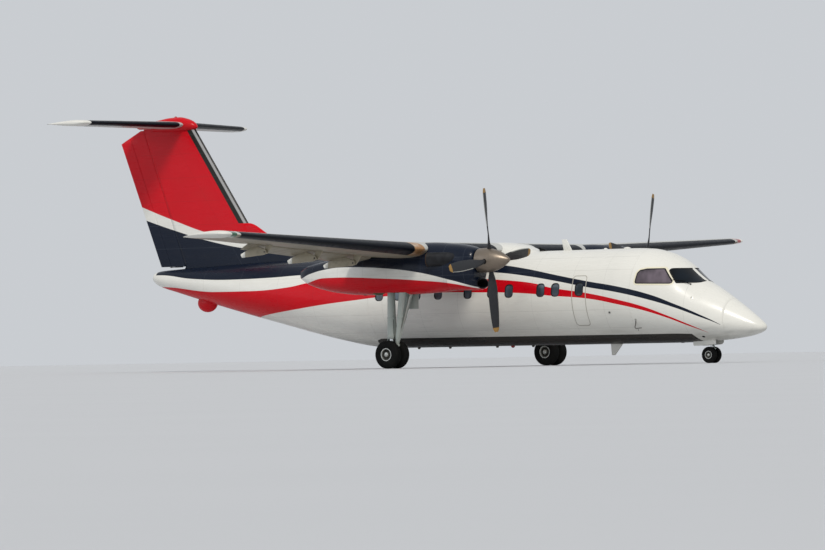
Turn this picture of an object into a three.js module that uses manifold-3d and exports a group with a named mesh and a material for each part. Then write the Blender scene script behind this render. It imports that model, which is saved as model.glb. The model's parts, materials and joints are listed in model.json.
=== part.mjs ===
// Twin turboprop regional airliner with a high wing and a T tail, parked on its wheels.
// Millimetres. +X points to the nose, +Y to the left wing, +Z up; the ground is z = 0 and the
// origin lies on it, midway along the overall length. Places along the body are stations,
// measured aft from the nose tip, so that x = -station inside the aircraft group.

import * as THREE from "three";
import { mergeVertices } from "three/addons/utils/BufferGeometryUtils.js";
import Module from "manifold-3d";

const wasm = await Module();
wasm.setup();

// Overall sizes
const LENGTH = 22250;
const SPAN = 25910;
const TAIL_SPAN = 7920;

// Clearances
const SEAM = 0.3; // between pieces that touch
const RUN_GAP = 15; // round the nose of a control surface
const END_GAP = 25; // at the ends of a control surface
const DOOR_GAP = 8;
const PIN = { facets: 12, control: 11, sink: 55, flap: 26, door: 14 };

// Fuselage, as [station, top, bottom, half width, height of the widest point]
const FUSELAGE = [
  [0, 965, 925, 20, 945],
  [30, 1030, 885, 90, 947],
  [100, 1100, 840, 170, 955],
  [250, 1215, 785, 280, 980],
  [500, 1400, 722, 410, 1030],
  [1000, 1745, 655, 625, 1130],
  [1500, 2065, 612, 815, 1250],
  [1900, 2290, 590, 945, 1370],
  [2150, 2480, 582, 1020, 1450],
  [2400, 2700, 578, 1090, 1540],
  [2700, 2915, 575, 1160, 1620],
  [3100, 3085, 575, 1240, 1720],
  [3600, 3190, 575, 1310, 1830],
  [4200, 3215, 575, 1345, 1895],
  [12400, 3215, 575, 1345, 1895],
  [13100, 3213, 640, 1335, 1920],
  [14000, 3205, 800, 1280, 1980],
  [15000, 3190, 1020, 1190, 2080],
  [16000, 3170, 1260, 1070, 2200],
  [17200, 3140, 1550, 900, 2330],
  [18200, 3100, 1800, 740, 2450],
  [19200, 3060, 2060, 570, 2560],
  [20200, 3010, 2330, 380, 2680],
  [20800, 2970, 2500, 250, 2745],
  [21090, 2900, 2640, 120, 2770],
];
const RING_POINTS = 28;
const SKIN = 90; // skin and frames together, where the body is hollow
const SECTION_ENDS = { nose: 1000, front: 3600, centre: 8000, rear: 12400, end: 21090 };
const FLOOR_Z = 1090;
const COCKPIT = { from: 2020, to: 3500, floor: 1350 };
const AISLE = { halfWidth: 300, top: 2900 };
const VESTIBULE = { from: 4300, to: 5600, inner: -300, top: 2950 };
const HOLD = { from: 12800, to: 20300, top: 2950 };
const PASSENGER_DOOR = { from: 4560, to: 5320, bottom: FLOOR_Z, top: 2740, depth: 90 };
const BAGGAGE_DOOR = { from: 13000, to: 14270, bottom: FLOOR_Z + 60, top: 2610, depth: 90 };
const STEP = { count: 5, depth: 190, thick: 40, halfWidth: 290 };
const NOSE_BAY = { from: 1480, to: 2250, halfWidth: 215, top: 1000 };

// Cockpit windows: outlines in side view, as [station, height], with the post between them
const WINDSCREEN = [
  [1800, 2230],
  [2335, 2220],
  [2645, 2605],
  [2270, 2605],
];
const SIDE_WINDOW = [
  [2410, 2210],
  [3440, 2235],
  [3390, 2610],
  [2745, 2605],
];
const POST_HALF_WIDTH = 45;
const GLASS_THICK = 35;
const GLASS_GAP = 2;

// Wing: chord line at a quarter chord, one flat middle panel and two tapered outer panels
const WING = { lead: 8150, chord: 2500, z: 3225, thick: 0.18, incidence: 2.5, joint: 4480 };
const TIP = { lead: 8600, chord: 1400, thick: 0.13, rise: 395, capFrom: 12700, capLead: 8850, capChord: 1150 };
const CAMBER = 0.02;
const FLAP = { cut: 0.72, rest: 15, drop: 380, chordwiseGap: 20, nacelleGap: 30 };
const FLAP_SPANS = { inner: [1180, 3340], outer: [4540, 10120] };
const AILERON = { cut: 0.76, span: [10280, 12480] };
const HINGE_ARMS = { inner: [1560, 2950], outer: [5600, 7450, 9800] };
const ARM = { thick: 64, from: 0.5, to: 0.66, pin: 70, apart: 12, tail: 200, droop: 60, tailHeight: 100 };

// Wing root fairing on the fuselage top, as [station, top, half width]
const ROOT_FAIRING = [
  [7300, 3190, 420],
  [7600, 3290, 700],
  [8000, 3420, 860],
  [8600, 3490, 930],
  [10300, 3440, 930],
  [11000, 3330, 820],
  [11600, 3240, 600],
  [12000, 3190, 380],
];

// Nacelle, as [station, top, bottom, half width]
const NACELLE_Y = 3935;
const NACELLE = [
  [6740, 3245, 2290, 385],
  [6950, 3320, 2200, 455],
  [7500, 3405, 2120, 515],
  [8300, 3455, 2060, 540],
  [9100, 3440, 2035, 540],
  [10000, 3350, 2040, 540],
  [10800, 3240, 2065, 525],
  [11500, 3090, 2135, 450],
  [12100, 2985, 2260, 340],
  [12500, 2900, 2390, 225],
  [12790, 2760, 2560, 70],
];
const NACELLE_SQUARE = 2.6; // how square its section is; 2 is an ellipse
// The chin under the spinner, in the same terms, and the oval mouth in it
const CHIN = [
  [6650, 2440, 2140, 295],
  [6720, 2470, 2118, 325],
  [7000, 2540, 2112, 400],
  [7500, 2640, 2116, 470],
];
const COWL_END = 8900;
const ENGINE = { from: 6930, to: 8880, halfWidth: 320, bottom: 2335, top: 3010 };
const INTAKE = { halfWidth: 250, bottom: 2176, top: 2408, end: 6940 };
const WHEEL_WELL = { from: 9000, to: 10150, halfWidth: 300, top: 2420 };
const EXHAUST = { from: 6980, to: 8030, start: 300, end: 630, z: 2975, high: 190, wide: 120, wall: 14 };

// Propellers
const PROP = {
  station: 6380,
  z: 2920,
  blades: 4,
  phase: { left: -13, right: 7 }, // degrees that the top blade leans to the right
  hubRadius: 150,
  shank: 62,
  shaftRadius: 90,
  shaftEnd: -500,
};
const SPINNER = [
  [-330, 330],
  [-100, 336],
  [180, 290],
  [400, 200],
  [560, 100],
  [640, 30],
  [650, 0],
];
// Blade sections, as [radius, chord, thickness, pitch in degrees from the disc]
const BLADE = [
  [330, 124, 116, 54],
  [520, 205, 52, 45],
  [850, 280, 30, 33],
  [1350, 302, 21, 21],
  [1860, 240, 11, 14],
  [1980, 130, 6, 12],
];

// Tail
const FIN = { leadTop: 19510, leadSlope: 0.668, topZ: 7170, rootZ: 2900 };
const RUDDER = { foot: 3050, aftTopZ: 6770, trailSlope: 0.388, topForeZ: 7165 };
const FORE_HINGE = { station: 19900, slope: 0.365 }; // station at z = 3050
const TRAIL_HINGE = { station: 20440, slope: 0.378 };
const RUDDER_TRAVEL_GAP = 40;
const BRACKET = { bottom: 3068, top: 3084, halfWidth: 22 };
const DORSAL = [
  [13200, 3150],
  [14500, 3350],
  [15800, 3620],
  [16800, 3925],
  [17560, 4300],
];
const DORSAL_THICK = 110;
const TAILPLANE = { z: 7255, leadRoot: 19750, leadTip: 20500, trailRoot: 21600, trailTip: 21910, thick: 0.12 };
const ELEVATOR = { cut: 0.6, span: [290, 3560] };
// Cap of the fin, as [station, top, bottom, half width]
const FIN_CAP = [
  [19410, 7195, 7160, 25],
  [19450, 7260, 7125, 75],
  [19560, 7350, 7095, 135],
  [19750, 7430, 7065, 185],
  [20050, 7490, 7045, 210],
  [20400, 7480, 7040, 220],
  [20800, 7425, 7060, 205],
  [21100, 7385, 7080, 180],
  [21500, 7330, 7155, 110],
  [21700, 7290, 7240, 30],
];
const TAIL_BUMPER = { station: 19130, z: 2000, halfLength: 340, halfWidth: 190, drop: 270 };

// Undercarriage
const TYRE_FACETS = 22;
const facetHeight = (radius) => radius * Math.cos(Math.PI / TYRE_FACETS);
const MAIN_TYRE = { radius: 393.5, bead: 168, halfWidth: 120, twin: 200 };
const NOSE_TYRE = { radius: 228.5, bead: 103, halfWidth: 68, twin: 118 };
const MAIN_AXLE = { station: 9720, z: facetHeight(MAIN_TYRE.radius), sleeve: 45 };
const NOSE_AXLE = { station: 1770, z: facetHeight(NOSE_TYRE.radius), sleeve: 30 };
const MAIN_LEG = { radius: 95, piston: 68, top: 2400, collar: 880 };
const DRAG_BRACE = { topStation: 9180, topZ: 2240, topSpread: 190, footStation: 9560, footZ: 640, radius: 52 };
const ACTUATOR = { topStation: 8820, topZ: 1960, footStation: 9480, footZ: 900, radius: 26 };
const NOSE_LEG = { radius: 62, top: 980, collar: 560 };
const STEER_COLLAR_TOP = NOSE_LEG.collar - SEAM;
const NOSE_DOOR = { from: 1500, to: 2230, top: 596, bottom: 478, thick: 14 };
const MAIN_DOOR = { from: 8960, to: 9420, top: 2060, bottom: 1640, thick: 16 };
const JACK_PAD = { radius: 45, height: 14, noseStation: 2700, noseInset: 6, nacelleStation: 10600 };

// Colours
const PAINT = {
  white: 0xe6e4da,
  navy: 0x141c2c,
  red: 0xb0061c,
  belly: 0x8c8a80,
  boot: 0x0b0c0f,
  glass: 0x1a2028,
  alloy: 0x9da5a4,
  steel: 0x54504b,
  rubber: 0x101012,
  interior: 0x3c3f44,
};
const paint = (name, roughness = 0.35, metalness = 0) =>
  new THREE.MeshStandardMaterial({ color: PAINT[name], roughness, metalness });
const WHITE = paint("white");
const RED = paint("red");
const NAVY = paint("navy");
const GREY = paint("belly", 0.5);
const GLASS = paint("glass", 0.05);
const ALLOY = paint("alloy", 0.4, 0.8);
const STEEL = paint("steel", 0.5, 0.9);
const RUBBER = paint("rubber", 0.85);
const BOOT = paint("boot", 0.6);
const INTERIOR = paint("interior", 0.8);

const radians = THREE.MathUtils.degToRad;
const at = (station, y, z) => new THREE.Vector3(-station, y, z);

// Closed meshes

function solidOf(geometry) {
  const bare = geometry.clone();
  for (const name of Object.keys(bare.attributes)) if (name !== "position") bare.deleteAttribute(name);
  const merged = mergeVertices(bare, 1e-3);
  return new wasm.Manifold(
    new wasm.Mesh({
      numProp: 3,
      vertProperties: merged.attributes.position.array,
      triVerts: new Uint32Array(merged.index.array),
    }),
  );
}

function geometryOf(solid) {
  const mesh = solid.getMesh();
  const geometry = new THREE.BufferGeometry();
  geometry.setAttribute("position", new THREE.BufferAttribute(mesh.vertProperties, 3));
  geometry.setIndex(new THREE.BufferAttribute(mesh.triVerts, 1));
  geometry.computeVertexNormals();
  return geometry;
}

const join = (...solids) => solids.reduce((whole, next) => whole.add(next));
const cut = (solid, ...tools) => tools.reduce((left, tool) => left.subtract(tool), solid);

function moved(solid, matrix) {
  return solid.transform(matrix.toArray());
}

// A round pin between two points
const pin = (from, to, radius) => bar(from, to, radius, radius, PIN.facets);

// The bore that a pin turns in, with its flats a seam away from the pin's corners
function boreFor(from, to, radius, turn = Math.PI / PIN.facets) {
  const reach = (radius + SEAM) / Math.cos(Math.PI / PIN.facets);
  return bar(past(to, from, 2), past(from, to, 2), reach, reach, PIN.facets, turn);
}

// A point on the line through two others, a distance past the second one
const past = (a, b, distance) => b.clone().addScaledVector(b.clone().sub(a).normalize(), distance);

// The point of that line at a given y
const lineAt = ([a, b], y) => a.clone().lerp(b, (y - a.y) / (b.y - a.y));

// The hinge pins at both ends of a control surface, sunk into what carries it
const endPins = ([a, b], make = pin) => [
  make(past(b, a, -PIN.sink), past(b, a, END_GAP + PIN.sink), PIN.control),
  make(past(a, b, -PIN.sink), past(a, b, END_GAP + PIN.sink), PIN.control),
];

const mirror = (solid) => moved(solid, new THREE.Matrix4().makeScale(1, -1, 1));

// A closed solid through rings of equal length, with flat ends. Ends may be concave.
function loft(rings) {
  const count = rings[0].length;
  const positions = rings.flat().flatMap((p) => [p.x, p.y, p.z]);
  const index = [];
  for (let r = 0; r + 1 < rings.length; r++)
    for (let i = 0; i < count; i++) {
      const [a, b] = [r * count + i, r * count + ((i + 1) % count)];
      index.push(a, b, a + count, b, b + count, a + count);
    }
  for (const [ring, start, last] of [
    [rings[0], 0, false],
    [rings.at(-1), (rings.length - 1) * count, true],
  ]) {
    for (const face of capFaces(ring)) {
      const [a, b, c] = face.map((i) => i + start);
      index.push(...(last ? [a, b, c] : [a, c, b]));
    }
  }
  const geometry = new THREE.BufferGeometry();
  geometry.setAttribute("position", new THREE.Float32BufferAttribute(positions, 3));
  geometry.setIndex(index);
  const solid = solidOf(geometry);
  return solid.volume() < 0 ? solidOf(turned(geometry)) : solid;
}

function turned(geometry) {
  const index = geometry.index.array;
  for (let i = 0; i < index.length; i += 3) [index[i + 1], index[i + 2]] = [index[i + 2], index[i + 1]];
  return geometry;
}

// Triangles of a ring's flat end, wound as the ring runs
function capFaces(ring) {
  const normal = new THREE.Vector3();
  ring.forEach((p, i) => {
    const q = ring[(i + 1) % ring.length];
    normal.x += (p.y - q.y) * (p.z + q.z);
    normal.y += (p.z - q.z) * (p.x + q.x);
    normal.z += (p.x - q.x) * (p.y + q.y);
  });
  normal.normalize();
  const u = new THREE.Vector3(1, 0, 0);
  if (Math.abs(normal.x) > 0.7) u.set(0, 1, 0);
  u.addScaledVector(normal, -u.dot(normal)).normalize();
  const v = new THREE.Vector3().crossVectors(normal, u);
  const contour = ring.map((p) => new THREE.Vector2(p.dot(u), p.dot(v)));
  return THREE.ShapeUtils.triangulateShape(contour, []);
}

function box(low, high) {
  const size = high.clone().sub(low);
  const geometry = new THREE.BoxGeometry(Math.abs(size.x), Math.abs(size.y), Math.abs(size.z));
  geometry.translate((low.x + high.x) / 2, (low.y + high.y) / 2, (low.z + high.z) / 2);
  return solidOf(geometry);
}

// A round bar between two points, thinner at its end if a second radius is given
function bar(from, to, radius, endRadius = radius, facets = 8, start = 0) {
  const axis = to.clone().sub(from);
  const geometry = new THREE.CylinderGeometry(endRadius, radius, axis.length(), facets, 1, false, start);
  const turn = new THREE.Quaternion().setFromUnitVectors(new THREE.Vector3(0, 1, 0), axis.normalize());
  geometry.applyQuaternion(turn);
  geometry.translate((from.x + to.x) / 2, (from.y + to.y) / 2, (from.z + to.z) / 2);
  return solidOf(geometry);
}

// An outline in side view, as [station, height], spread across from one y to another
function sidePrism(outline, fromY, toY) {
  const rings = [fromY, toY].map((y) => outline.map(([station, z]) => at(station, y, z)));
  return loft(rings);
}

// A turned solid round the y axis, from a profile of [radius, y]
function turnedSolid(profile, facets) {
  const points = profile.map(([radius, y]) => new THREE.Vector2(radius, y));
  const geometry = new THREE.LatheGeometry(points, facets);
  const solid = solidOf(geometry);
  return solid.volume() < 0 ? solidOf(turned(mergeVertices(stripped(geometry), 1e-3))) : solid;
}

function stripped(geometry) {
  geometry.deleteAttribute("normal");
  geometry.deleteAttribute("uv");
  return geometry;
}

// Values between the rows of a table, on smooth curves that never overshoot
function rowAt(table, station) {
  const last = table.length - 1;
  let i = table.findIndex((row) => row[0] > station) - 1;
  if (i < 0) i = station <= table[0][0] ? 0 : last - 1;
  const [a, b] = [table[i], table[i + 1]];
  const h = b[0] - a[0];
  const t = Math.min(Math.max((station - a[0]) / h, 0), 1);
  return a.map((value, k) => {
    if (k === 0) return station;
    const slope = (j) => (table[j + 1][k] - table[j][k]) / (table[j + 1][0] - table[j][0]);
    const tangent = (j) => {
      if (j === 0) return slope(0);
      if (j === last) return slope(last - 1);
      const [before, after] = [slope(j - 1), slope(j)];
      return before * after <= 0 ? 0 : (2 * before * after) / (before + after);
    };
    const [m0, m1] = [tangent(i) * h, tangent(i + 1) * h];
    const [t2, t3] = [t * t, t * t * t];
    return (2 * t3 - 3 * t2 + 1) * value + (t3 - 2 * t2 + t) * m0 + (3 * t2 - 2 * t3) * b[k] + (t3 - t2) * m1;
  });
}

const tableStations = (table, from, to) => [
  from,
  ...table.map((row) => row[0]).filter((s) => s > from + 1 && s < to - 1),
  to,
];

// Fuselage

function fuselageRing(station, inset, count) {
  const [, top, bottom, halfWidth, widest] = rowAt(FUSELAGE, station);
  const ring = [];
  for (let i = 0; i < count; i++) {
    const angle = (i / count) * 2 * Math.PI;
    const height = Math.cos(angle) > 0 ? top - widest : widest - bottom;
    const across = Math.max(halfWidth - inset, 5);
    const up = Math.max(height - inset, 5);
    ring.push(at(station, across * Math.sin(angle), widest + up * Math.cos(angle)));
  }
  return ring;
}

const fuselageBody = (from, to, inset = 0, count = RING_POINTS) =>
  loft(tableStations(FUSELAGE, from, to).map((station) => fuselageRing(station, inset, count)));

const roomBody = (from, to, inset) => fuselageBody(from, to, inset, RING_POINTS / 2);

const fuselageSection = (from, to) => fuselageBody(from + SEAM / 2, to - SEAM / 2);

const doorPanel = (door, gap = 0) =>
  box(at(door.to + gap, 0, door.bottom - gap), at(door.from - gap, 1500, door.top + gap));

// The passenger door's hinge barrels, half sunk in the sill along its outer edge
const doorHinge = (station) => {
  const [, , bottom, halfWidth, widest] = rowAt(FUSELAGE, station);
  const drop = (widest - PASSENGER_DOOR.bottom) / (widest - bottom);
  return at(station, halfWidth * Math.sqrt(1 - drop * drop) - 12, PASSENGER_DOOR.bottom - DOOR_GAP / 2);
};

const DOOR_BARRELS = [
  [PASSENGER_DOOR.from + 90, PASSENGER_DOOR.from + 250],
  [PASSENGER_DOOR.to - 250, PASSENGER_DOOR.to - 90],
];
const doorBarrels = (make = pin) => DOOR_BARRELS.map(([a, b]) => make(doorHinge(a), doorHinge(b), PIN.door));

// Rounded room in the sill for the door's lower edge, before, between and after the barrels
function sillScoops() {
  const edge = 5;
  const spans = [
    [PASSENGER_DOOR.from - DOOR_GAP, DOOR_BARRELS[0][0] - edge],
    [DOOR_BARRELS[0][1] + edge, DOOR_BARRELS[1][0] - edge],
    [DOOR_BARRELS[1][1] + edge, PASSENGER_DOOR.to + DOOR_GAP],
  ];
  return spans.map(([a, b]) => bar(doorHinge(a), doorHinge(b), 21, 21, 10));
}

const noseCone = () => fuselageBody(0, SECTION_ENDS.nose - SEAM / 2);

const windowPrism = (outline, gap) => {
  const centre = outline.reduce(([s, z], p) => [s + p[0] / 4, z + p[1] / 4], [0, 0]);
  const shrunk = outline.map(([s, z]) => {
    const [ds, dz] = [s - centre[0], z - centre[1]];
    const reach = Math.hypot(ds, dz);
    return [centre[0] + ds * (1 - gap / reach), centre[1] + dz * (1 - gap / reach)];
  });
  return sidePrism(shrunk, POST_HALF_WIDTH + gap, 1500);
};

function fuselageNose() {
  const shell = fuselageSection(SECTION_ENDS.nose, SECTION_ENDS.front);
  const { from, to, floor } = COCKPIT;
  const room = roomBody(from, to, SKIN).intersect(box(at(to, -1400, floor), at(from, 1400, 3200)));
  const aisle = box(
    at(SECTION_ENDS.front + 10, -AISLE.halfWidth, floor),
    at(to - 50, AISLE.halfWidth, AISLE.top),
  );
  const bay = box(
    at(NOSE_BAY.to, -NOSE_BAY.halfWidth, 400),
    at(NOSE_BAY.from, NOSE_BAY.halfWidth, NOSE_BAY.top),
  );
  const panes = [windowPrism(WINDSCREEN, 0), windowPrism(SIDE_WINDOW, 0)];
  const { radius, height, noseStation, noseInset } = JACK_PAD;
  const bottom = rowAt(FUSELAGE, noseStation)[2];
  const pad = bar(at(noseStation, 0, bottom + 40), at(noseStation, 0, bottom - height + noseInset), radius);
  return join(cut(shell, room, aisle, bay, ...panes, ...panes.map(mirror)), pad);
}

function windowPane(outline) {
  const skin = fuselageBody(1600, 3590).subtract(fuselageBody(1600, 3590, GLASS_THICK));
  return skin.intersect(windowPrism(outline, GLASS_GAP));
}

function cockpitInterior() {
  const { from, to, floor } = COCKPIT;
  const room = roomBody(from + 20, to - 20, SKIN + 8).intersect(
    box(at(to - 20, -1400, floor + SEAM), at(from + 20, 1400, 3100)),
  );
  const deck = box(at(to, -1200, floor), at(from, 1200, floor + 60));
  const panel = box(at(2420, -1100, floor), at(2200, 1100, 2150));
  const pedestal = box(at(3000, -140, floor), at(2400, 140, 1800));
  const seats = [-1, 1].flatMap((side) => {
    const y = side * 520;
    return [
      box(at(3230, y - 230, floor), at(2760, y + 230, 1760)),
      box(at(3330, y - 230, floor), at(3210, y + 230, 2420)),
      box(at(3330, y - 120, 2400), at(3230, y + 120, 2600)),
    ];
  });
  return join(deck, panel, pedestal, ...seats).intersect(room);
}

function fuselageForward() {
  const shell = fuselageSection(SECTION_ENDS.front, SECTION_ENDS.centre);
  const { from, to, inner, top } = VESTIBULE;
  const room = roomBody(from, to, SKIN).intersect(box(at(to, inner, FLOOR_Z), at(from, 1400, top)));
  const aisle = box(
    at(from + 50, -AISLE.halfWidth, COCKPIT.floor),
    at(SECTION_ENDS.front - 10, AISLE.halfWidth, AISLE.top),
  );
  const bores = doorBarrels((a, b, radius) => boreFor(past(b, a, 5), past(a, b, 5), radius));
  return cut(shell, room, aisle, doorPanel(PASSENGER_DOOR, DOOR_GAP), ...bores, ...sillScoops());
}

function passengerDoor() {
  const { from, to, bottom, top, depth } = PASSENGER_DOOR;
  const skin = fuselageBody(from - 200, to + 200).subtract(fuselageBody(from - 300, to + 300, depth));
  const panel = skin.intersect(doorPanel(PASSENGER_DOOR));
  const pitch = (top - bottom) / (STEP.count + 1);
  const middle = (from + to) / 2;
  const steps = Array.from({ length: STEP.count }, (_, i) => {
    const z = bottom + (i + 1) * pitch;
    const [, fuselageTop, fuselageBottom, halfWidth, widest] = rowAt(FUSELAGE, middle);
    const rise = (z - widest) / (z > widest ? fuselageTop - widest : widest - fuselageBottom);
    const skinY = halfWidth * Math.sqrt(1 - rise * rise);
    return box(
      at(middle + STEP.halfWidth, skinY - depth - STEP.depth, z - STEP.thick),
      at(middle - STEP.halfWidth, skinY - depth / 2, z),
    );
  });
  return join(panel, ...steps, ...doorBarrels());
}

function fuselageCentre() {
  const body = fuselageSection(SECTION_ENDS.centre, SECTION_ENDS.rear);
  return body.subtract(wingMiddleBody(SEAM));
}

function fuselageRear() {
  const shell = fuselageSection(SECTION_ENDS.rear, SECTION_ENDS.end);
  const hold = roomBody(HOLD.from, HOLD.to, SKIN + 10).intersect(
    box(at(HOLD.to, -1400, 700), at(HOLD.from, 1400, HOLD.top)),
  );
  const { station, z, halfLength, halfWidth, drop } = TAIL_BUMPER;
  const bumper = new THREE.SphereGeometry(1, 12, 8);
  bumper.scale(halfLength, halfWidth, drop);
  bumper.translate(-station, 0, z);
  const open = cut(shell, hold, doorPanel(BAGGAGE_DOOR, SEAM), ...forePins(boreFor));
  const below = box(at(station + 400, -300, z - 500), at(station - 400, 300, z + 60));
  return join(open, solidOf(bumper).intersect(below));
}

function baggageDoor() {
  const { from, to, depth } = BAGGAGE_DOOR;
  const skin = fuselageBody(from - 200, to + 200).subtract(fuselageBody(from - 300, to + 300, depth));
  return skin.intersect(doorPanel(BAGGAGE_DOOR));
}

// Wing sections. A point is [fraction of chord aft, fraction of chord up].

function airfoilPoint(x, upper, thick, camber) {
  const half =
    5 *
    thick *
    (0.2969 * Math.sqrt(x) - 0.126 * x - 0.3516 * x ** 2 + 0.2843 * x ** 3 - 0.1036 * x ** 4);
  const line = 4 * camber * x * (1 - x);
  return [x, line + (upper ? half : -half)];
}

const CHORD_STEPS = 9;
const cosineStep = (i, from = 0, to = 1) =>
  from + (to - from) * (1 - Math.cos((Math.PI * i) / CHORD_STEPS)) * 0.5;

function fullSection(thick, camber) {
  const upper = Array.from({ length: CHORD_STEPS + 1 }, (_, i) =>
    airfoilPoint(cosineStep(CHORD_STEPS - i), true, thick, camber),
  );
  const lower = Array.from({ length: CHORD_STEPS - 1 }, (_, i) =>
    airfoilPoint(cosineStep(i + 1), false, thick, camber),
  );
  return [...upper, ...lower];
}

// Where a control surface's nose is centred, and its radius, as fractions of the chord
function noseOf(cutAt, thick, camber) {
  const [, up] = airfoilPoint(cutAt, true, thick, camber);
  const [, down] = airfoilPoint(cutAt, false, thick, camber);
  return { x: cutAt, z: (up + down) / 2, radius: (up - down) / 2 };
}

const NOSE_STEPS = 6;

// A control surface behind the cut: the rear of the section with a half-round nose
function controlSection(cutAt, thick, camber) {
  const { x, z, radius } = noseOf(cutAt, thick, camber);
  const steps = 5;
  const upper = Array.from({ length: steps }, (_, i) =>
    airfoilPoint(1 - ((1 - cutAt) * i) / steps, true, thick, camber),
  );
  const nose = Array.from({ length: NOSE_STEPS + 1 }, (_, i) => {
    const angle = (Math.PI * i) / NOSE_STEPS;
    return [x - radius * Math.sin(angle), z + radius * Math.cos(angle)];
  });
  const lower = Array.from({ length: steps - 1 }, (_, i) =>
    airfoilPoint(cutAt + ((1 - cutAt) * (i + 1)) / steps, false, thick, camber),
  );
  return [...upper, ...nose, ...lower];
}

// What is cut from the wing to leave room for a control surface
function coveSection(cutAt, thick, camber, gap, flatFront = false) {
  const { x, z, radius } = noseOf(cutAt, thick, camber);
  const reach = radius + gap;
  const nose = Array.from({ length: NOSE_STEPS + 1 }, (_, i) => {
    const angle = (Math.PI * i) / NOSE_STEPS;
    const bulge = flatFront ? Math.sign(Math.sin(angle) - 1e-6) * reach : reach * Math.sin(angle);
    return [x - Math.max(bulge, 0), z + reach * Math.cos(angle)];
  });
  return [[1.2, 0.5], [x, 0.5], ...nose, [x, -0.5], [1.2, -0.5]];
}

// The wing at a distance from the centreline: leading edge, chord, height and thickness
function wingAt(y) {
  const out = Math.max(0, y - WING.joint) / (SPAN / 2 - WING.joint);
  return {
    y,
    lead: WING.lead + (TIP.lead - WING.lead) * out,
    chord: WING.chord + (TIP.chord - WING.chord) * out,
    z: WING.z + TIP.rise * out,
    thick: WING.thick + (TIP.thick - WING.thick) * out,
  };
}

// A ring of the section's points, set out at one place of the wing, turned nose up
function wingRing(place, points, grow = 0) {
  const { y, lead, chord, z } = place;
  const [c, s] = [Math.cos(radians(WING.incidence)), Math.sin(radians(WING.incidence))];
  const pivot = 0.25;
  return points.map(([px, pz], i) => {
    const [along, up] = [(px - pivot) * chord, pz * chord];
    const spread = grow ? outward(points, i) : [0, 0];
    const [a, u] = [along + spread[0] * grow, up + spread[1] * grow];
    return at(lead + pivot * chord + a * c + u * s, y, z - a * s + u * c);
  });
}

// The unit normal that points out of an outline at one of its points
function outward(points, i) {
  const before = points.at(i - 1);
  const after = points[(i + 1) % points.length];
  const [dx, dz] = [after[0] - before[0], after[1] - before[1]];
  const size = Math.hypot(dx, dz) || 1;
  return [dz / size, -dx / size];
}

function wingBody(from, to, grow = 0, steps = [from, to]) {
  return loft(
    steps.map((y) => {
      const place = wingAt(Math.abs(y));
      return wingRing({ ...place, y }, fullSection(place.thick, CAMBER), grow);
    }),
  );
}

const wingMiddleBody = (grow) => wingBody(-WING.joint, WING.joint, grow);

function cove(span, cutAt, gap, flatFront = false) {
  return loft(
    [span[0] - END_GAP, span[1] + END_GAP].map((y) => {
      const place = wingAt(y);
      const points = coveSection(cutAt, place.thick, CAMBER, gap / place.chord, flatFront);
      return wingRing(place, points);
    }),
  );
}

function control(span, cutAt) {
  return loft(
    span.map((y) => {
      const place = wingAt(y);
      return wingRing(place, controlSection(cutAt, place.thick, CAMBER));
    }),
  );
}

// A hinge line point of a control surface at one distance from the centreline
function hingePoint(y, cutAt, below = 0, ahead = 0) {
  const place = wingAt(y);
  const { x, z } = noseOf(cutAt, place.thick, CAMBER);
  return wingRing(place, [[x - ahead / place.chord, z - below / place.chord]])[0];
}

// A flap's hinge line, straight and below its nose
const flapLine = (which) =>
  FLAP_SPANS[which].map((y) => {
    const place = wingAt(y);
    const { radius } = noseOf(FLAP.cut, place.thick, CAMBER);
    return hingePoint(y, FLAP.cut, (FLAP.drop * place.chord) / WING.chord, radius * place.chord);
  });

// A matrix that turns by an angle about the line between two points
function turnAbout(a, b, degrees) {
  const axis = b.clone().sub(a).normalize();
  return new THREE.Matrix4()
    .makeTranslation(a.x, a.y, a.z)
    .multiply(new THREE.Matrix4().makeRotationAxis(axis, radians(degrees)))
    .multiply(new THREE.Matrix4().makeTranslation(-a.x, -a.y, -a.z));
}

// The fixed half of a flap hinge, hanging under the wing, as a thin plate with a round foot
function fixedArm(line, y) {
  const foot = lineAt(line, y);
  const place = wingAt(y);
  const top = [ARM.from, ARM.to].map((x) => wingRing(place, [[x, -0.02]])[0]);
  const outline = [
    [-top[0].x, top[0].z],
    [-foot.x - ARM.pin, foot.z - ARM.pin * 0.6],
    [-foot.x + ARM.pin, foot.z - ARM.pin],
    [-foot.x + ARM.pin, foot.z + ARM.pin],
    [-top[1].x, top[1].z],
  ];
  const plate = sidePrism(outline, y - ARM.thick, y - ARM.apart);
  return join(plate, pin(lineAt(line, y - ARM.thick + 2), lineAt(line, y + ARM.thick - 4), PIN.flap));
}

// The moving half, fixed to the flap and lying beside the fixed one, with a tail behind the flap
function movingArm(line, y) {
  const foot = lineAt(line, y);
  const place = wingAt(y);
  const [front, back, end] = [0.78, 0.9, 1].map((x) => wingRing(place, [[x, 0]])[0]);
  const tail = [-end.x + ARM.tail, end.z - ARM.droop];
  const outline = [
    [-foot.x - ARM.pin, foot.z - ARM.pin],
    [-foot.x + ARM.pin, foot.z - ARM.pin],
    [tail[0] - 30, tail[1] - ARM.tailHeight],
    tail,
    [-back.x, back.z],
    [-front.x, front.z],
    [-foot.x - ARM.pin, foot.z + ARM.pin],
  ];
  // The flap turns by half a facet from here to its place at rest
  const bore = boreFor(lineAt(line, y), lineAt(line, y + 2 * ARM.thick), PIN.flap, 0);
  return sidePrism(outline, y + ARM.apart, y + ARM.thick).subtract(bore);
}

function flap(which) {
  const span = FLAP_SPANS[which];
  const line = flapLine(which);
  const arms = HINGE_ARMS[which].map((y) => movingArm(line, y));
  return moved(join(control(span, FLAP.cut), ...arms), turnAbout(...line, -FLAP.rest));
}

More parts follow.
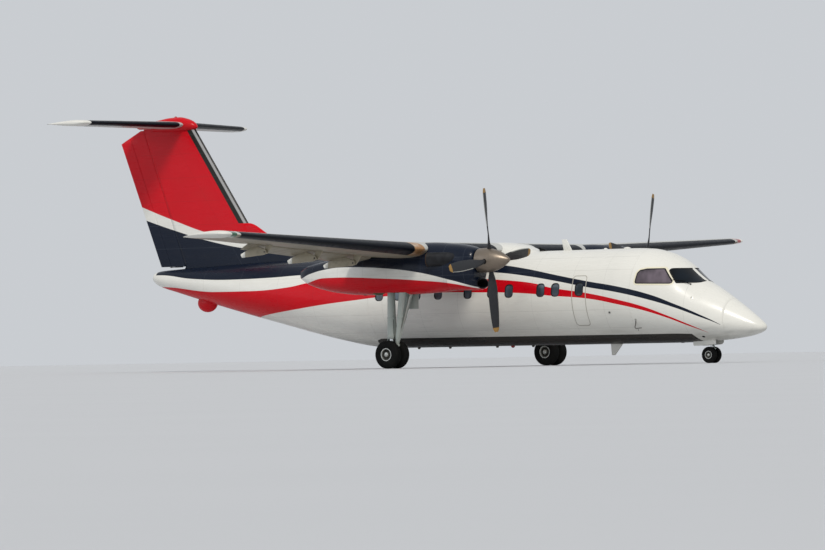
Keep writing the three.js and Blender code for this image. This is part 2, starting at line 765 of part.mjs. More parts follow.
function wingMiddle() {
  const coves = [1, -1].map((side) => {
    const solid = cove(FLAP_SPANS.inner, FLAP.cut, FLAP.chordwiseGap, true);
    return side > 0 ? solid : mirror(solid);
  });
  const arms = HINGE_ARMS.inner.map((y) => fixedArm(flapLine("inner"), y));
  return join(cut(wingMiddleBody(0), ...coves), ...arms, ...arms.map(mirror));
}

function wingOuter() {
  const places = [WING.joint + SEAM, TIP.capFrom].map(wingAt);
  const rings = places.map((place) => wingRing(place, fullSection(place.thick, CAMBER)));
  const end = wingAt(SPAN / 2);
  const tip = { ...end, lead: TIP.capLead, chord: TIP.capChord, thick: 0.05 };
  rings.push(wingRing(tip, fullSection(tip.thick, 0.045)));
  const body = cut(
    loft(rings),
    cove(FLAP_SPANS.outer, FLAP.cut, FLAP.chordwiseGap, true),
    cove(AILERON.span, AILERON.cut, RUN_GAP),
    ...endPins(aileronHinge(), boreFor),
  );
  return join(body, ...HINGE_ARMS.outer.map((y) => fixedArm(flapLine("outer"), y)));
}

const aileronHinge = () => AILERON.span.map((y) => hingePoint(y, AILERON.cut));
const aileron = () => join(control(AILERON.span, AILERON.cut), ...endPins(aileronHinge()));

function rootFairing() {
  const rings = ROOT_FAIRING.map(([station, top, halfWidth]) => {
    const ring = [];
    const foot = 2700;
    const steps = 14;
    for (let i = 0; i <= steps; i++) {
      const angle = Math.PI * (i / steps - 0.5);
      const across = Math.sign(Math.sin(angle)) * Math.abs(Math.sin(angle)) ** 0.8 * halfWidth;
      ring.push(at(station, across, foot + (top - foot) * Math.cos(angle) ** 0.55));
    }
    return ring;
  });
  return cut(
    loft(rings),
    fuselageBody(6900, 12390, -SEAM),
    wingMiddleBody(SEAM),
    cove(FLAP_SPANS.inner, FLAP.cut, FLAP.chordwiseGap, true),
    mirror(cove(FLAP_SPANS.inner, FLAP.cut, FLAP.chordwiseGap, true)),
  );
}

// Nacelles, modelled on the left side

function nacelleRing([station, top, bottom, halfWidth], facets, square = NACELLE_SQUARE) {
  const [middle, half] = [(top + bottom) / 2, (top - bottom) / 2];
  return Array.from({ length: facets }, (_, i) => {
    const angle = (i / facets) * 2 * Math.PI;
    const power = 2 / square;
    const [c, s] = [Math.cos(angle), Math.sin(angle)];
    const across = Math.sign(s) * Math.abs(s) ** power * halfWidth;
    return at(station, NACELLE_Y + across, middle + Math.sign(c) * Math.abs(c) ** power * half);
  });
}

const nacelleBody = (from, to) =>
  loft(tableStations(NACELLE, from, to).map((station) => nacelleRing(rowAt(NACELLE, station), 24)));

const chinBody = () => loft(CHIN.map((row) => nacelleRing(row, 16)));

const outerFlapCove = () =>
  cove([FLAP_SPANS.outer[0] - 40, FLAP_SPANS.outer[1]], FLAP.cut, FLAP.nacelleGap, true);

function engineCowl() {
  const { from, to, halfWidth, bottom, top } = ENGINE;
  const room = box(
    at(to + SEAM, NACELLE_Y - halfWidth - SEAM, bottom - SEAM),
    at(from - SEAM, NACELLE_Y + halfWidth + SEAM, top + SEAM),
  );
  const mouth = loft(
    [CHIN[0][0] - 10, INTAKE.end].map((station) =>
      nacelleRing([station, INTAKE.top, INTAKE.bottom, INTAKE.halfWidth], 14, 2),
    ),
  );
  const axis = (x) => at(PROP.station - x, NACELLE_Y, PROP.z);
  const shaftBore = boreFor(axis(PROP.shaftEnd - 10), axis(0), PROP.shaftRadius);
  const body = join(nacelleBody(NACELLE[0][0], COWL_END - SEAM / 2), chinBody());
  return cut(body, room, mouth, shaftBore, wingMiddleBody(SEAM));
}

const engineBlock = () => {
  const { from, to, halfWidth, bottom, top } = ENGINE;
  return box(at(to, NACELLE_Y - halfWidth, bottom), at(from, NACELLE_Y + halfWidth, top));
};

function gearNacelle() {
  const { from, to, halfWidth, top } = WHEEL_WELL;
  const well = box(at(to, NACELLE_Y - halfWidth, 1900), at(from, NACELLE_Y + halfWidth, top));
  const body = nacelleBody(COWL_END + SEAM / 2, NACELLE.at(-1)[0]);
  const clearFlaps = [cove(FLAP_SPANS.inner, FLAP.cut, FLAP.nacelleGap, true), outerFlapCove()];
  const { radius, height, nacelleStation } = JACK_PAD;
  const bottom = rowAt(NACELLE, nacelleStation)[2];
  const pad = bar(
    at(nacelleStation, NACELLE_Y, bottom + 60),
    at(nacelleStation, NACELLE_Y, bottom - height),
    radius,
  );
  return join(cut(body, well, wingMiddleBody(SEAM), ...clearFlaps), pad);
}

function exhaust() {
  const { from, to, start, end, z, high, wide, wall } = EXHAUST;
  const facets = 14;
  const oval = (station, inset) => {
    const share = (station - from) / (to - from);
    return Array.from({ length: facets }, (_, i) => {
      const angle = (i / facets) * 2 * Math.PI;
      const across = (wide - inset) * Math.sin(angle);
      const y = NACELLE_Y + start + (end - start) * share + across;
      return at(station, y, z + (high - inset) * Math.cos(angle));
    });
  };
  const pipe = loft([oval(from, 0), oval(to, 0)]);
  const bore = loft([oval(to - 330, wall), oval(to + 5, wall)]);
  return cut(pipe.subtract(bore), grownNacelle());
}

function grownNacelle() {
  const centre = new THREE.Matrix4().makeTranslation(0, NACELLE_Y, 2750);
  const grow = new THREE.Matrix4().makeScale(1, 1.0012, 1.0008);
  const back = new THREE.Matrix4().makeTranslation(0, -NACELLE_Y, -2750);
  return moved(nacelleBody(NACELLE[0][0], NACELLE.at(-1)[0]), centre.multiply(grow).multiply(back));
}

// Propellers, modelled about their own hub

function blade(grow) {
  const facets = 6;
  const rings = BLADE.map(([radius, chord, thick, pitch]) => {
    const [c, s] = [Math.cos(radians(pitch)), Math.sin(radians(pitch))];
    return Array.from({ length: facets }, (_, i) => {
      const angle = (i / facets) * 2 * Math.PI;
      const along = (chord / 2 + grow) * Math.cos(angle);
      const through = (thick / 2 + grow) * Math.sin(angle);
      return new THREE.Vector3(along * s - through * c, -along * c - through * s, radius);
    });
  });
  const shank = bar(new THREE.Vector3(0, 0, 0), new THREE.Vector3(0, 0, BLADE[0][0] + 60), PROP.shank + grow);
  return join(loft(rings), shank);
}

function bladesAndHub(side, grow = 0) {
  const back = SPINNER[0][0];
  const along = (x) => new THREE.Vector3(x, 0, 0);
  const shaft = pin(along(PROP.shaftEnd - grow), along(back + 20), PROP.shaftRadius);
  const hub = bar(along(back), along(160 + grow), PROP.hubRadius + grow);
  const blades = Array.from({ length: PROP.blades }, (_, i) => {
    const turn = new THREE.Matrix4().makeRotationX(radians(PROP.phase[side]) + (i * 2 * Math.PI) / PROP.blades);
    return moved(blade(grow), turn);
  });
  return join(shaft, hub, ...blades);
}

function spinner(side) {
  const profile = [[0, SPINNER[0][0]], ...SPINNER.map(([x, r]) => [r, x])];
  const dome = turnedSolid(profile, 14);
  const aim = new THREE.Matrix4().makeRotationZ(-Math.PI / 2);
  return cut(moved(dome, aim), bladesAndHub(side, SEAM));
}

// Tail

const finLead = (z) => FIN.leadTop - (FIN.topZ - z) * FIN.leadSlope;
const foreHinge = (z) => FORE_HINGE.station + (z - RUDDER.foot) * FORE_HINGE.slope;
const trailHinge = (z) => TRAIL_HINGE.station + (z - RUDDER.foot) * TRAIL_HINGE.slope;
const rudderTrail = (z) => LENGTH - (RUDDER.aftTopZ - z) * RUDDER.trailSlope;
const finThick = (z) => 300 - ((z - RUDDER.foot) / (FIN.topZ - RUDDER.foot)) * 110;

// Half thickness of the fin and rudders at a station, as a lens with a sharp trailing edge
function finHalf(z, station) {
  const [lead, trail] = [finLead(z), rudderTrail(z)];
  const x = Math.min(Math.max((station - lead) / (trail - lead), 0), 1);
  return airfoilPoint(x, true, finThick(z) / (trail - lead), 0)[1] * (trail - lead) + 2;
}

function finRing(z, from, to, steps, roundFront) {
  const stations = Array.from({ length: steps + 1 }, (_, i) => {
    const share = roundFront ? (1 - Math.cos((Math.PI * i) / steps / 2)) : i / steps;
    return from + (to - from) * share;
  });
  const left = stations.map((s) => at(s, finHalf(z, s), z));
  const right = stations.map((s) => at(s, -finHalf(z, s), z)).reverse();
  return [...left, ...right];
}

const roundNose = (hinge, foot, top, gap) => {
  const radius = (z) => finHalf(z, hinge(z)) + gap;
  return bar(at(hinge(foot), 0, foot), at(hinge(top), 0, top), radius(foot), radius(top), 16);
};

function rudderPiece(hinge, end, foot, top) {
  const slab = loft([foot, top].map((z) => finRing(z, hinge(z), end(z), 5, false)));
  return join(slab, roundNose(hinge, foot, top, -2));
}

// Cuts the sloping top corner off the rudders
const rudderTopCut = () =>
  sidePrism(
    [
      [21400, RUDDER.topForeZ],
      [LENGTH, RUDDER.aftTopZ],
      [LENGTH, 5000],
      [LENGTH + 600, 5000],
      [LENGTH + 600, 8000],
      [21400, 8000],
    ],
    -400,
    400,
  );

// The fore rudder's pins stand in the tail cone below and in the fin's cap above
function forePins(make = pin) {
  const hinge = (z) => at(foreHinge(z), 0, z);
  const top = RUDDER.topForeZ;
  return [make(hinge(2955), hinge(RUDDER.foot + 150), 16), make(hinge(top - 150), hinge(top + 48), 16)];
}

// The trailing rudder's pin stands on a bracket that reaches aft from the fore rudder's foot
const trailPin = (make = pin) => {
  const hinge = (z) => at(trailHinge(z), 0, z);
  return make(hinge(BRACKET.bottom + 4), hinge(BRACKET.top + 90), 12);
};

const belowFoot = () => box(at(22000, -400, 2800), at(19000, 400, RUDDER.foot + RUDDER_TRAVEL_GAP));

function footBracket() {
  const { bottom, top, halfWidth } = BRACKET;
  const start = foreHinge(top) + 120;
  const end = trailHinge(top) + 45;
  const arm = box(at(end, -halfWidth, bottom), at(start, halfWidth, top));
  const root = box(at(trailHinge(top) - 150, -halfWidth, bottom), at(start, halfWidth, top + 60));
  return join(arm, root);
}

function foreRudder() {
  const foot = RUDDER.foot + RUDDER_TRAVEL_GAP;
  const slab = rudderPiece(foreHinge, trailHinge, foot, RUDDER.topForeZ - 30).subtract(belowFoot());
  const room = roundNose(trailHinge, foot - 200, RUDDER.topForeZ + 300, RUN_GAP - 2);
  const behind = loft(
    [foot - 200, RUDDER.topForeZ + 300].map((z) =>
      [
        [trailHinge(z), -500],
        [trailHinge(z) + 2000, -500],
        [trailHinge(z) + 2000, 500],
        [trailHinge(z), 500],
      ].map(([s, y]) => at(s, y, z)),
    ),
  );
  const body = cut(slab, room, behind, rudderTopCut());
  return join(body, footBracket(), trailPin(), ...forePins());
}

function trailingRudder() {
  const foot = RUDDER.foot + RUDDER_TRAVEL_GAP;
  const whole = rudderPiece(trailHinge, rudderTrail, foot, RUDDER.topForeZ);
  const body = cut(whole, rudderTopCut(), belowFoot());
  return body.subtract(trailPin(boreFor));
}

function fin() {
  const rings = [FIN.rootZ, 4300, FIN.topZ].map((z) => finRing(z, finLead(z), foreHinge(z), 7, true));
  const room = roundNose(foreHinge, RUDDER.foot, FIN.topZ + 200, RUN_GAP - 2);
  const dorsalOutline = [...DORSAL, [18600, 4300], [18600, 3000], [13200, 3000]];
  const dorsal = sidePrism(dorsalOutline, -DORSAL_THICK / 2, DORSAL_THICK / 2);
  const base = fuselageBody(SECTION_ENDS.rear - 100, SECTION_ENDS.end, -SEAM);
  const whole = join(loft(rings), dorsal, finCap());
  return cut(whole, base, room, tailplaneBody(SEAM), elevatorCoves(), ...forePins(boreFor));
}

function finCap() {
  const facets = 12;
  const rings = FIN_CAP.map(([station, top, bottom, halfWidth]) =>
    Array.from({ length: facets }, (_, i) => {
      const angle = (i / facets) * 2 * Math.PI;
      const z = (top + bottom) / 2 + ((top - bottom) / 2) * Math.cos(angle);
      return at(station, halfWidth * Math.sin(angle), z);
    }),
  );
  const clearRudder = sidePrism(
    [
      [21000, 6900],
      [22000, 6900],
      [22000, RUDDER.topForeZ + 12],
      [21000, RUDDER.topForeZ + 12],
    ],
    -400,
    400,
  );
  return loft(rings).subtract(clearRudder);
}

// Tailplane

function tailAt(y) {
  const out = Math.abs(y) / (TAIL_SPAN / 2);
  const lead = TAILPLANE.leadRoot + (TAILPLANE.leadTip - TAILPLANE.leadRoot) * out;
  const trail = TAILPLANE.trailRoot + (TAILPLANE.trailTip - TAILPLANE.trailRoot) * out;
  return { y, lead, chord: trail - lead, z: TAILPLANE.z, thick: TAILPLANE.thick };
}

function tailRing(place, points, grow = 0) {
  return points.map(([px, pz], i) => {
    const spread = grow ? outward(points, i) : [0, 0];
    const station = place.lead + px * place.chord + spread[0] * grow;
    return at(station, place.y, place.z + pz * place.chord + spread[1] * grow);
  });
}

function tailplaneBody(grow) {
  const half = TAIL_SPAN / 2;
  const tip = (y) => ({ ...tailAt(y), lead: tailAt(y).lead + 120, chord: tailAt(y).chord - 150, thick: 0.05 });
  const places = [tip(-half), tailAt(-half + 140), tailAt(0), tailAt(half - 140), tip(half)];
  return loft(places.map((place) => tailRing(place, fullSection(place.thick, 0), grow)));
}

function elevatorCove() {
  const [from, to] = ELEVATOR.span;
  return loft(
    [from - END_GAP, to + END_GAP].map((y) => {
      const place = tailAt(y);
      return tailRing(place, coveSection(ELEVATOR.cut, place.thick, 0, RUN_GAP / place.chord));
    }),
  );
}

const elevatorCoves = () => join(elevatorCove(), mirror(elevatorCove()));

const elevatorHinge = () =>
  ELEVATOR.span.map((y) => tailRing(tailAt(y), [[ELEVATOR.cut, 0]])[0]);

function tailplane() {
  const bores = endPins(elevatorHinge(), boreFor);
  return cut(tailplaneBody(0), elevatorCoves(), ...bores, ...bores.map(mirror));
}

function elevator() {
  const surface = loft(
    ELEVATOR.span.map((y) => {
      const place = tailAt(y);
      return tailRing(place, controlSection(ELEVATOR.cut, place.thick, 0));
    }),
  );
  return join(surface, ...endPins(elevatorHinge()));
}

// Undercarriage, modelled on the left side or on the centreline

function tyre({ radius, bead, halfWidth }) {
  // Half profile as [share of the height above the bead, share of the half width]
  const half = [
    [0, 0.8],
    [0.45, 1],
    [1, 0.55],
  ];
  const side = (sign) => half.map(([up, out]) => [bead + up * (radius - bead), sign * out * halfWidth]);
  const profile = [...side(1), ...side(-1).reverse()];
  return turnedSolid([...profile, profile[0]], TYRE_FACETS);
}

// Both rims and the sleeve that joins them, turning on one axle
function wheelRims({ bead, halfWidth, twin }, sleeve) {
  const edge = twin + halfWidth * 0.82;
  const inner = twin - halfWidth * 0.82;
  const rim = facetHeight(bead) - SEAM;
  const half = [
    [0, edge],
    [rim * 0.3, edge],
    [rim * 0.4, edge - halfWidth * 0.45],
    [rim * 0.9, edge - halfWidth * 0.1],
    [rim, edge],
    [rim, inner],
    [sleeve, inner],
  ];
  return turnedSolid([...half, ...half.map(([r, y]) => [r, -y]).reverse()], 16);
}

// A tyre's facets lie flat on the ground when one facet points down
const facetTurn = new THREE.Matrix4().makeRotationY(Math.PI / TYRE_FACETS);

function axleEye(z, station, y, sleeve, halfLength) {
  const bore = boreFor(at(station, y - 500, z), at(station, y + 500, z), sleeve);
  const outside = sleeve + 38;
  const ring = bar(at(station, y - halfLength, z), at(station, y + halfLength, z), outside, outside, 16);
  return { ring, bore };
}

function mainLeg() {
  const { station, z, sleeve } = MAIN_AXLE;
  const y = NACELLE_Y;
  const { ring, bore } = axleEye(z, station, y, sleeve, 72);
  const cylinder = bar(at(station, y, MAIN_LEG.collar), at(station, y, MAIN_LEG.top), MAIN_LEG.radius);
  const collar = bar(
    at(station, y, MAIN_LEG.collar - 60),
    at(station, y, MAIN_LEG.collar + 40),
    MAIN_LEG.radius + 14,
  );
  const piston = bar(at(station, y, z), at(station, y, MAIN_LEG.collar), MAIN_LEG.piston);
  const trunnion = bar(
    at(station, y - WHEEL_WELL.halfWidth + SEAM, MAIN_LEG.top - 90),
    at(station, y + WHEEL_WELL.halfWidth - SEAM, MAIN_LEG.top - 90),
    60,
  );
  const links = [
    [at(station + 110, y, z + 40), at(station + 235, y, z + 250)],
    [at(station + 235, y, z + 250), at(station + 80, y, MAIN_LEG.collar - 10)],
    [at(station + 20, y, z + 30), at(station + 115, y, z + 36)],
  ].map(([a, b]) => bar(a, b, 24, 24, 10));
  const lug = bar(at(DRAG_BRACE.footStation - 30, y, DRAG_BRACE.footZ), at(station, y, DRAG_BRACE.footZ), 40);
  return join(cylinder, collar, piston, ring, trunnion, lug, ...links).subtract(bore);
}

function dragBrace() {
  const { topStation, topZ, topSpread, footStation, footZ, radius } = DRAG_BRACE;
  const foot = at(footStation, NACELLE_Y, footZ);
  const arms = [-1, 1].map((side) =>
    bar(foot, at(topStation, NACELLE_Y + side * topSpread, topZ), radius * 0.9, radius, 14),
  );
  const cross = bar(
    at(topStation, NACELLE_Y - WHEEL_WELL.halfWidth + SEAM, topZ),
    at(topStation, NACELLE_Y + WHEEL_WELL.halfWidth - SEAM, topZ),
    radius * 0.8,
    radius * 0.8,
    14,
  );
  const actuator = bar(
    at(ACTUATOR.footStation, NACELLE_Y, ACTUATOR.footZ),
    at(ACTUATOR.topStation + 260, NACELLE_Y, ACTUATOR.topZ + 60),
    ACTUATOR.radius,
    ACTUATOR.radius,
    10,
  );
  const { station } = MAIN_AXLE;
  const leg = join(
    bar(at(station, NACELLE_Y, 300), at(station, NACELLE_Y, MAIN_LEG.collar), MAIN_LEG.piston + SEAM),
    bar(
      at(station, NACELLE_Y, MAIN_LEG.collar - 60),
      at(station, NACELLE_Y, MAIN_LEG.top + 100),
      MAIN_LEG.radius + 14 + SEAM,
    ),
    bar(at(footStation - 30 - SEAM, NACELLE_Y, footZ), at(station, NACELLE_Y, footZ), 40 + SEAM),
  );
  return cut(join(...arms, cross, actuator), leg);
}

function mainDoor() {
  const { from, to, top, bottom, thick } = MAIN_DOOR;
  const y = NACELLE_Y - WHEEL_WELL.halfWidth;
  const plate = box(at(to, y + SEAM, bottom), at(from + 45, y + thick, top + 60));
  const hinge = bar(at(to - 20, y + 24, top + 50), at(from + 60, y + 24, top + 50), 23.5, 23.5, 12);
  return join(plate, hinge);
}

function noseLeg() {
  const { station } = NOSE_AXLE;
  const cylinder = bar(at(station, 0, NOSE_LEG.collar), at(station, 0, NOSE_LEG.top), NOSE_LEG.radius);
  const half = NOSE_BAY.halfWidth - SEAM;
  const trunnion = bar(at(station, -half, 900), at(station, half, 900), 45);
  const drag = bar(at(station, 0, 640), at(NOSE_BAY.to - 30, 0, 930), 30, 30, 12);
  const cross = bar(at(NOSE_BAY.to - 45, -half, 925), at(NOSE_BAY.to - 45, half, 925), 28, 28, 12);
  return join(cylinder, trunnion, drag, cross);
}

function noseFork() {
  const { station, z, sleeve } = NOSE_AXLE;
  const { ring, bore } = axleEye(z, station, 0, sleeve, 42);
  const piston = bar(at(station, 0, z), at(station, 0, STEER_COLLAR_TOP), 40);
  const collar = bar(at(station, 0, STEER_COLLAR_TOP - 60), at(station, 0, STEER_COLLAR_TOP), 60);
  return join(piston, collar, ring).subtract(bore);
}

function noseDoor() {
  const { from, to, top, bottom, thick } = NOSE_DOOR;
  const y = NOSE_BAY.halfWidth;
  return box(at(to, y - thick - SEAM, bottom), at(from, y - SEAM, top + 60));
}

// The scene

const aircraft = new THREE.Group();
aircraft.position.x = LENGTH / 2;

function add(name, solid, material, parent = aircraft) {
  const mesh = new THREE.Mesh(geometryOf(solid), material);
  mesh.name = name;
  parent.add(mesh);
  return mesh;
}

// A mesh of a piece modelled on the left, and the same mesh mirrored to the right
function addPair(name, solid, material, parent = aircraft) {
  const geometry = geometryOf(solid);
  for (const side of ["left", "right"]) {
    const mesh = new THREE.Mesh(geometry, material);
    mesh.name = `${name}_${side}`;
    mesh.scale.y = side === "left" ? 1 : -1;
    parent.add(mesh);
  }
}

add("nose_cone", noseCone(), WHITE);
add("fuselage_nose", fuselageNose(), WHITE);
add("fuselage_forward", fuselageForward(), WHITE);
add("fuselage_centre", fuselageCentre(), WHITE);
add("fuselage_rear", fuselageRear(), WHITE);
add("cockpit_interior", cockpitInterior(), INTERIOR);
addPair("windscreen", windowPane(WINDSCREEN), GLASS);
addPair("side_window", windowPane(SIDE_WINDOW), GLASS);
add("passenger_door", passengerDoor(), WHITE);
add("baggage_door", baggageDoor(), WHITE);

add("wing_middle", wingMiddle(), GREY);
addPair("wing", wingOuter(), GREY);
add("wing_root_fairing", rootFairing(), WHITE);
addPair("flap_inner", flap("inner"), GREY);
addPair("flap_outer", flap("outer"), GREY);
addPair("aileron", aileron(), GREY);

addPair("engine_cowl", engineCowl(), NAVY);
addPair("gear_nacelle", gearNacelle(), RED);
addPair("engine", engineBlock(), STEEL);
addPair("exhaust", exhaust(), STEEL);

for (const [side, sign] of [
  ["left", 1],
  ["right", -1],
]) {
  const propeller = new THREE.Group();
  propeller.position.copy(at(PROP.station, sign * NACELLE_Y, PROP.z));
  add(`propeller_${side}`, bladesAndHub(side), BOOT, propeller);
  add(`spinner_${side}`, spinner(side), STEEL, propeller);
  aircraft.add(propeller);
}

add("fin", fin(), RED);
add("fore_rudder", foreRudder(), RED);
add("trailing_rudder", trailingRudder(), RED);
add("tailplane", tailplane(), GREY);
addPair("elevator", elevator(), GREY);

addPair("main_leg", mainLeg(), ALLOY);
addPair("drag_brace", dragBrace(), ALLOY);
addPair("main_gear_door", mainDoor(), WHITE);
add("nose_leg", noseLeg(), ALLOY);
add("nose_fork", noseFork(), ALLOY);
addPair("nose_gear_door", noseDoor(), WHITE);

function addWheels(name, tyreSize, axle, y) {
  const wheels = new THREE.Group();
  wheels.position.copy(at(axle.station, y, axle.z));
  add(`${name}_rims`, wheelRims(tyreSize, axle.sleeve), ALLOY, wheels);
  for (const [place, sign] of [
    ["left", 1],
    ["right", -1],
  ]) {
    const aside = new THREE.Matrix4().makeTranslation(0, sign * tyreSize.twin, 0);
    const solid = moved(moved(tyre(tyreSize), facetTurn), aside);
    add(`${name}_tyre_${place}`, solid, RUBBER, wheels);
  }
  aircraft.add(wheels);
}

addWheels("main_left", MAIN_TYRE, MAIN_AXLE, NACELLE_Y);
addWheels("main_right", MAIN_TYRE, MAIN_AXLE, -NACELLE_Y);
addWheels("nose", NOSE_TYRE, NOSE_AXLE, 0);

export default aircraft;
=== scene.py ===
# The looks of a twin turboprop airliner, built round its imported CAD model.
# Metres. +X points to the nose, +Y to the left wing, +Z up. A station is measured aft from the
# nose tip, so that x = HALF_LENGTH - station.

import json
import math

import bmesh
import bpy
import numpy as np
from mathutils import Matrix, Vector
from mathutils.bvhtree import BVHTree

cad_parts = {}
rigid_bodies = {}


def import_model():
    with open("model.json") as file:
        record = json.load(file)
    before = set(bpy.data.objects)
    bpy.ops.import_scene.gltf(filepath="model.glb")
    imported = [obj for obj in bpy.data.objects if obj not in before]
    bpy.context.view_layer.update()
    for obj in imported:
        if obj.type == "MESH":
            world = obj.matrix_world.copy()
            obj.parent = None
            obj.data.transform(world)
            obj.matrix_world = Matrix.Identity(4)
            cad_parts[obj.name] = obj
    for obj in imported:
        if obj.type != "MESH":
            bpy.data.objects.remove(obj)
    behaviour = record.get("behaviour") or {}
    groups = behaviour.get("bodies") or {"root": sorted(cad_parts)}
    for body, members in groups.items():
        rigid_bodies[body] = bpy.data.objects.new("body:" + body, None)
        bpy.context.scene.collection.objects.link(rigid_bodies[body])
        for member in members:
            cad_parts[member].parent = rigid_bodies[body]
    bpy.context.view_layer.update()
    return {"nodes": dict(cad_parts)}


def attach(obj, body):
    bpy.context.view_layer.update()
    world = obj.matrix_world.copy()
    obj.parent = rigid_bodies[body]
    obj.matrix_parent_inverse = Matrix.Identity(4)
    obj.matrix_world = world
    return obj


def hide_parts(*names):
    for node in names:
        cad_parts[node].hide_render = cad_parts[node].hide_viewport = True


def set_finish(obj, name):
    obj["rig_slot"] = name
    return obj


for thing in list(bpy.data.objects):
    bpy.data.objects.remove(thing)
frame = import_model()

LENGTH = 22.25
HALF_LENGTH = LENGTH / 2
HALF_SPAN = 12.955
TAIL_HALF_SPAN = 3.96
SIDES = {"left": 1, "right": -1}
ALONG, ACROSS, UP = (1, 0, 0), (0, 1, 0), (0, 0, 1)


# Smooth curves through the rows of a table


class Table:
    """The columns of a table as smooth curves over its first column, without overshoot unless loose."""

    def __init__(self, rows, loose=False):
        data = np.array(rows, float)
        self.keys, self.values = data[:, 0], data[:, 1:]
        slope = np.diff(self.values, axis=0) / np.diff(self.keys)[:, None]
        before, after = slope[:-1], slope[1:]
        total = np.where(before + after == 0, 1, before + after)
        inner = np.where(before * after > 0, 2 * before * after / total, 0)
        if loose:
            inner = (before + after) / 2
        self.tangents = np.vstack([slope[:1], inner, slope[-1:]])

    def at(self, key):
        key = np.asarray(key, float)
        i = np.clip(np.searchsorted(self.keys, key, side="right") - 1, 0, len(self.keys) - 2)
        h = (self.keys[i + 1] - self.keys[i])[..., None]
        t = np.clip((key - self.keys[i])[..., None] / h, 0, 1)
        from_start = (2 * t**3 - 3 * t**2 + 1) * self.values[i] + (t**3 - 2 * t**2 + t) * self.tangents[i] * h
        to_end = (3 * t**2 - 2 * t**3) * self.values[i + 1] + (t**3 - t**2) * self.tangents[i + 1] * h
        return from_start + to_end


# Station, top, bottom, half width, height of the widest point
FUSELAGE = Table(
    [
        [0, 0.965, 0.925, 0.020, 0.945],
        [0.03, 1.030, 0.885, 0.090, 0.947],
        [0.1, 1.100, 0.840, 0.170, 0.955],
        [0.25, 1.215, 0.785, 0.280, 0.980],
        [0.5, 1.400, 0.722, 0.410, 1.030],
        [1.0, 1.745, 0.655, 0.625, 1.130],
        [1.5, 2.065, 0.612, 0.815, 1.250],
        [1.9, 2.290, 0.590, 0.945, 1.370],
        [2.15, 2.480, 0.582, 1.020, 1.450],
        [2.4, 2.700, 0.578, 1.090, 1.540],
        [2.7, 2.915, 0.575, 1.160, 1.620],
        [3.1, 3.085, 0.575, 1.240, 1.720],
        [3.6, 3.190, 0.575, 1.310, 1.830],
        [4.2, 3.215, 0.575, 1.345, 1.895],
        [12.4, 3.215, 0.575, 1.345, 1.895],
        [13.1, 3.213, 0.640, 1.335, 1.920],
        [14.0, 3.205, 0.800, 1.280, 1.980],
        [15.0, 3.190, 1.020, 1.190, 2.080],
        [16.0, 3.170, 1.260, 1.070, 2.200],
        [17.2, 3.140, 1.550, 0.900, 2.330],
        [18.2, 3.100, 1.800, 0.740, 2.450],
        [19.2, 3.060, 2.060, 0.570, 2.560],
        [20.2, 3.010, 2.330, 0.380, 2.680],
        [20.8, 2.970, 2.500, 0.250, 2.745],
        [21.09, 2.900, 2.640, 0.120, 2.770],
    ]
)
BLUNT_NOSE = 0.1  # the nose is round ahead of this station
NOSE_END, FRONT_END, CENTRE_START, CENTRE_END, TAIL_END = 1.0, 3.6, 8.0, 12.4, 21.09
SEAM = 0.0015

# Station, top, bottom, half width
NACELLE = Table(
    [
        [6.74, 3.245, 2.290, 0.385],
        [6.95, 3.320, 2.200, 0.455],
        [7.5, 3.405, 2.120, 0.515],
        [8.3, 3.455, 2.060, 0.540],
        [9.1, 3.440, 2.035, 0.540],
        [10.0, 3.350, 2.040, 0.540],
        [10.8, 3.240, 2.065, 0.525],
        [11.5, 3.090, 2.135, 0.450],
        [12.1, 2.985, 2.260, 0.340],
        [12.5, 2.900, 2.390, 0.225],
        [12.79, 2.760, 2.560, 0.070],
    ]
)
CHIN = Table(
    [
        [6.65, 2.440, 2.140, 0.295],
        [6.72, 2.470, 2.118, 0.325],
        [7.0, 2.540, 2.112, 0.400],
        [7.5, 2.640, 2.116, 0.470],
    ]
)
NACELLE_Y = 3.935
PROP_Z = 2.92
TIP_RADIUS = 1.86
NACELLE_SQUARE = 2.6
COWL_END = 8.9

WING = {"lead": 8.15, "chord": 2.5, "z": 3.225, "thick": 0.18, "joint": 4.48}
# How far aft the outer wing's edges run for each metre out
LEAD_SWEEP, TRAIL_SWEEP = 0.0531, -0.0767
FIN = {"lead_top": 19.51, "lead_slope": 0.668, "top": 7.17, "root": 2.9, "foot": 3.05}


# Meshes, each shape a list of points and a list of faces


def place(station, y, z):
    return (HALF_LENGTH - station, y, z)


def spaced(start, end, step):
    return np.linspace(start, end, max(2, round((end - start) / step) + 1))


def circle(count):
    """Angles evenly round a circle."""
    return np.linspace(0, 2 * math.pi, count + 1)[:-1]


def section(station, across, up):
    """A ring of points at one station."""
    return np.stack([np.full(len(up), HALF_LENGTH - station), across, up], axis=1)


def loft(rings, caps=True):
    """A skin through rings of equal length."""
    rings = np.asarray(rings, float)
    rows, count = rings.shape[:2]
    faces = []
    for low in range(0, (rows - 1) * count, count):
        for i in range(count):
            j = (i + 1) % count
            faces.append((low + i, low + j, low + count + j, low + count + i))
    if caps:
        faces.append(tuple(reversed(range(count))))
        faces.append(tuple((rows - 1) * count + i for i in range(count)))
    return [tuple(p) for p in rings.reshape(-1, 3)], faces


def merged(*shapes):
    """Several shapes as one."""
    verts, faces = [], []
    for v, f in shapes:
        start = len(verts)
        verts += list(v)
        faces += [tuple(i + start for i in face) for face in f]
    return verts, faces


def moved(shape, matrix):
    return [tuple(matrix @ Vector(v)) for v in shape[0]], shape[1]


def flipped(shape):
    """The same shape on the other side."""
    return [(x, -y, z) for x, y, z in shape[0]], [tuple(reversed(f)) for f in shape[1]]


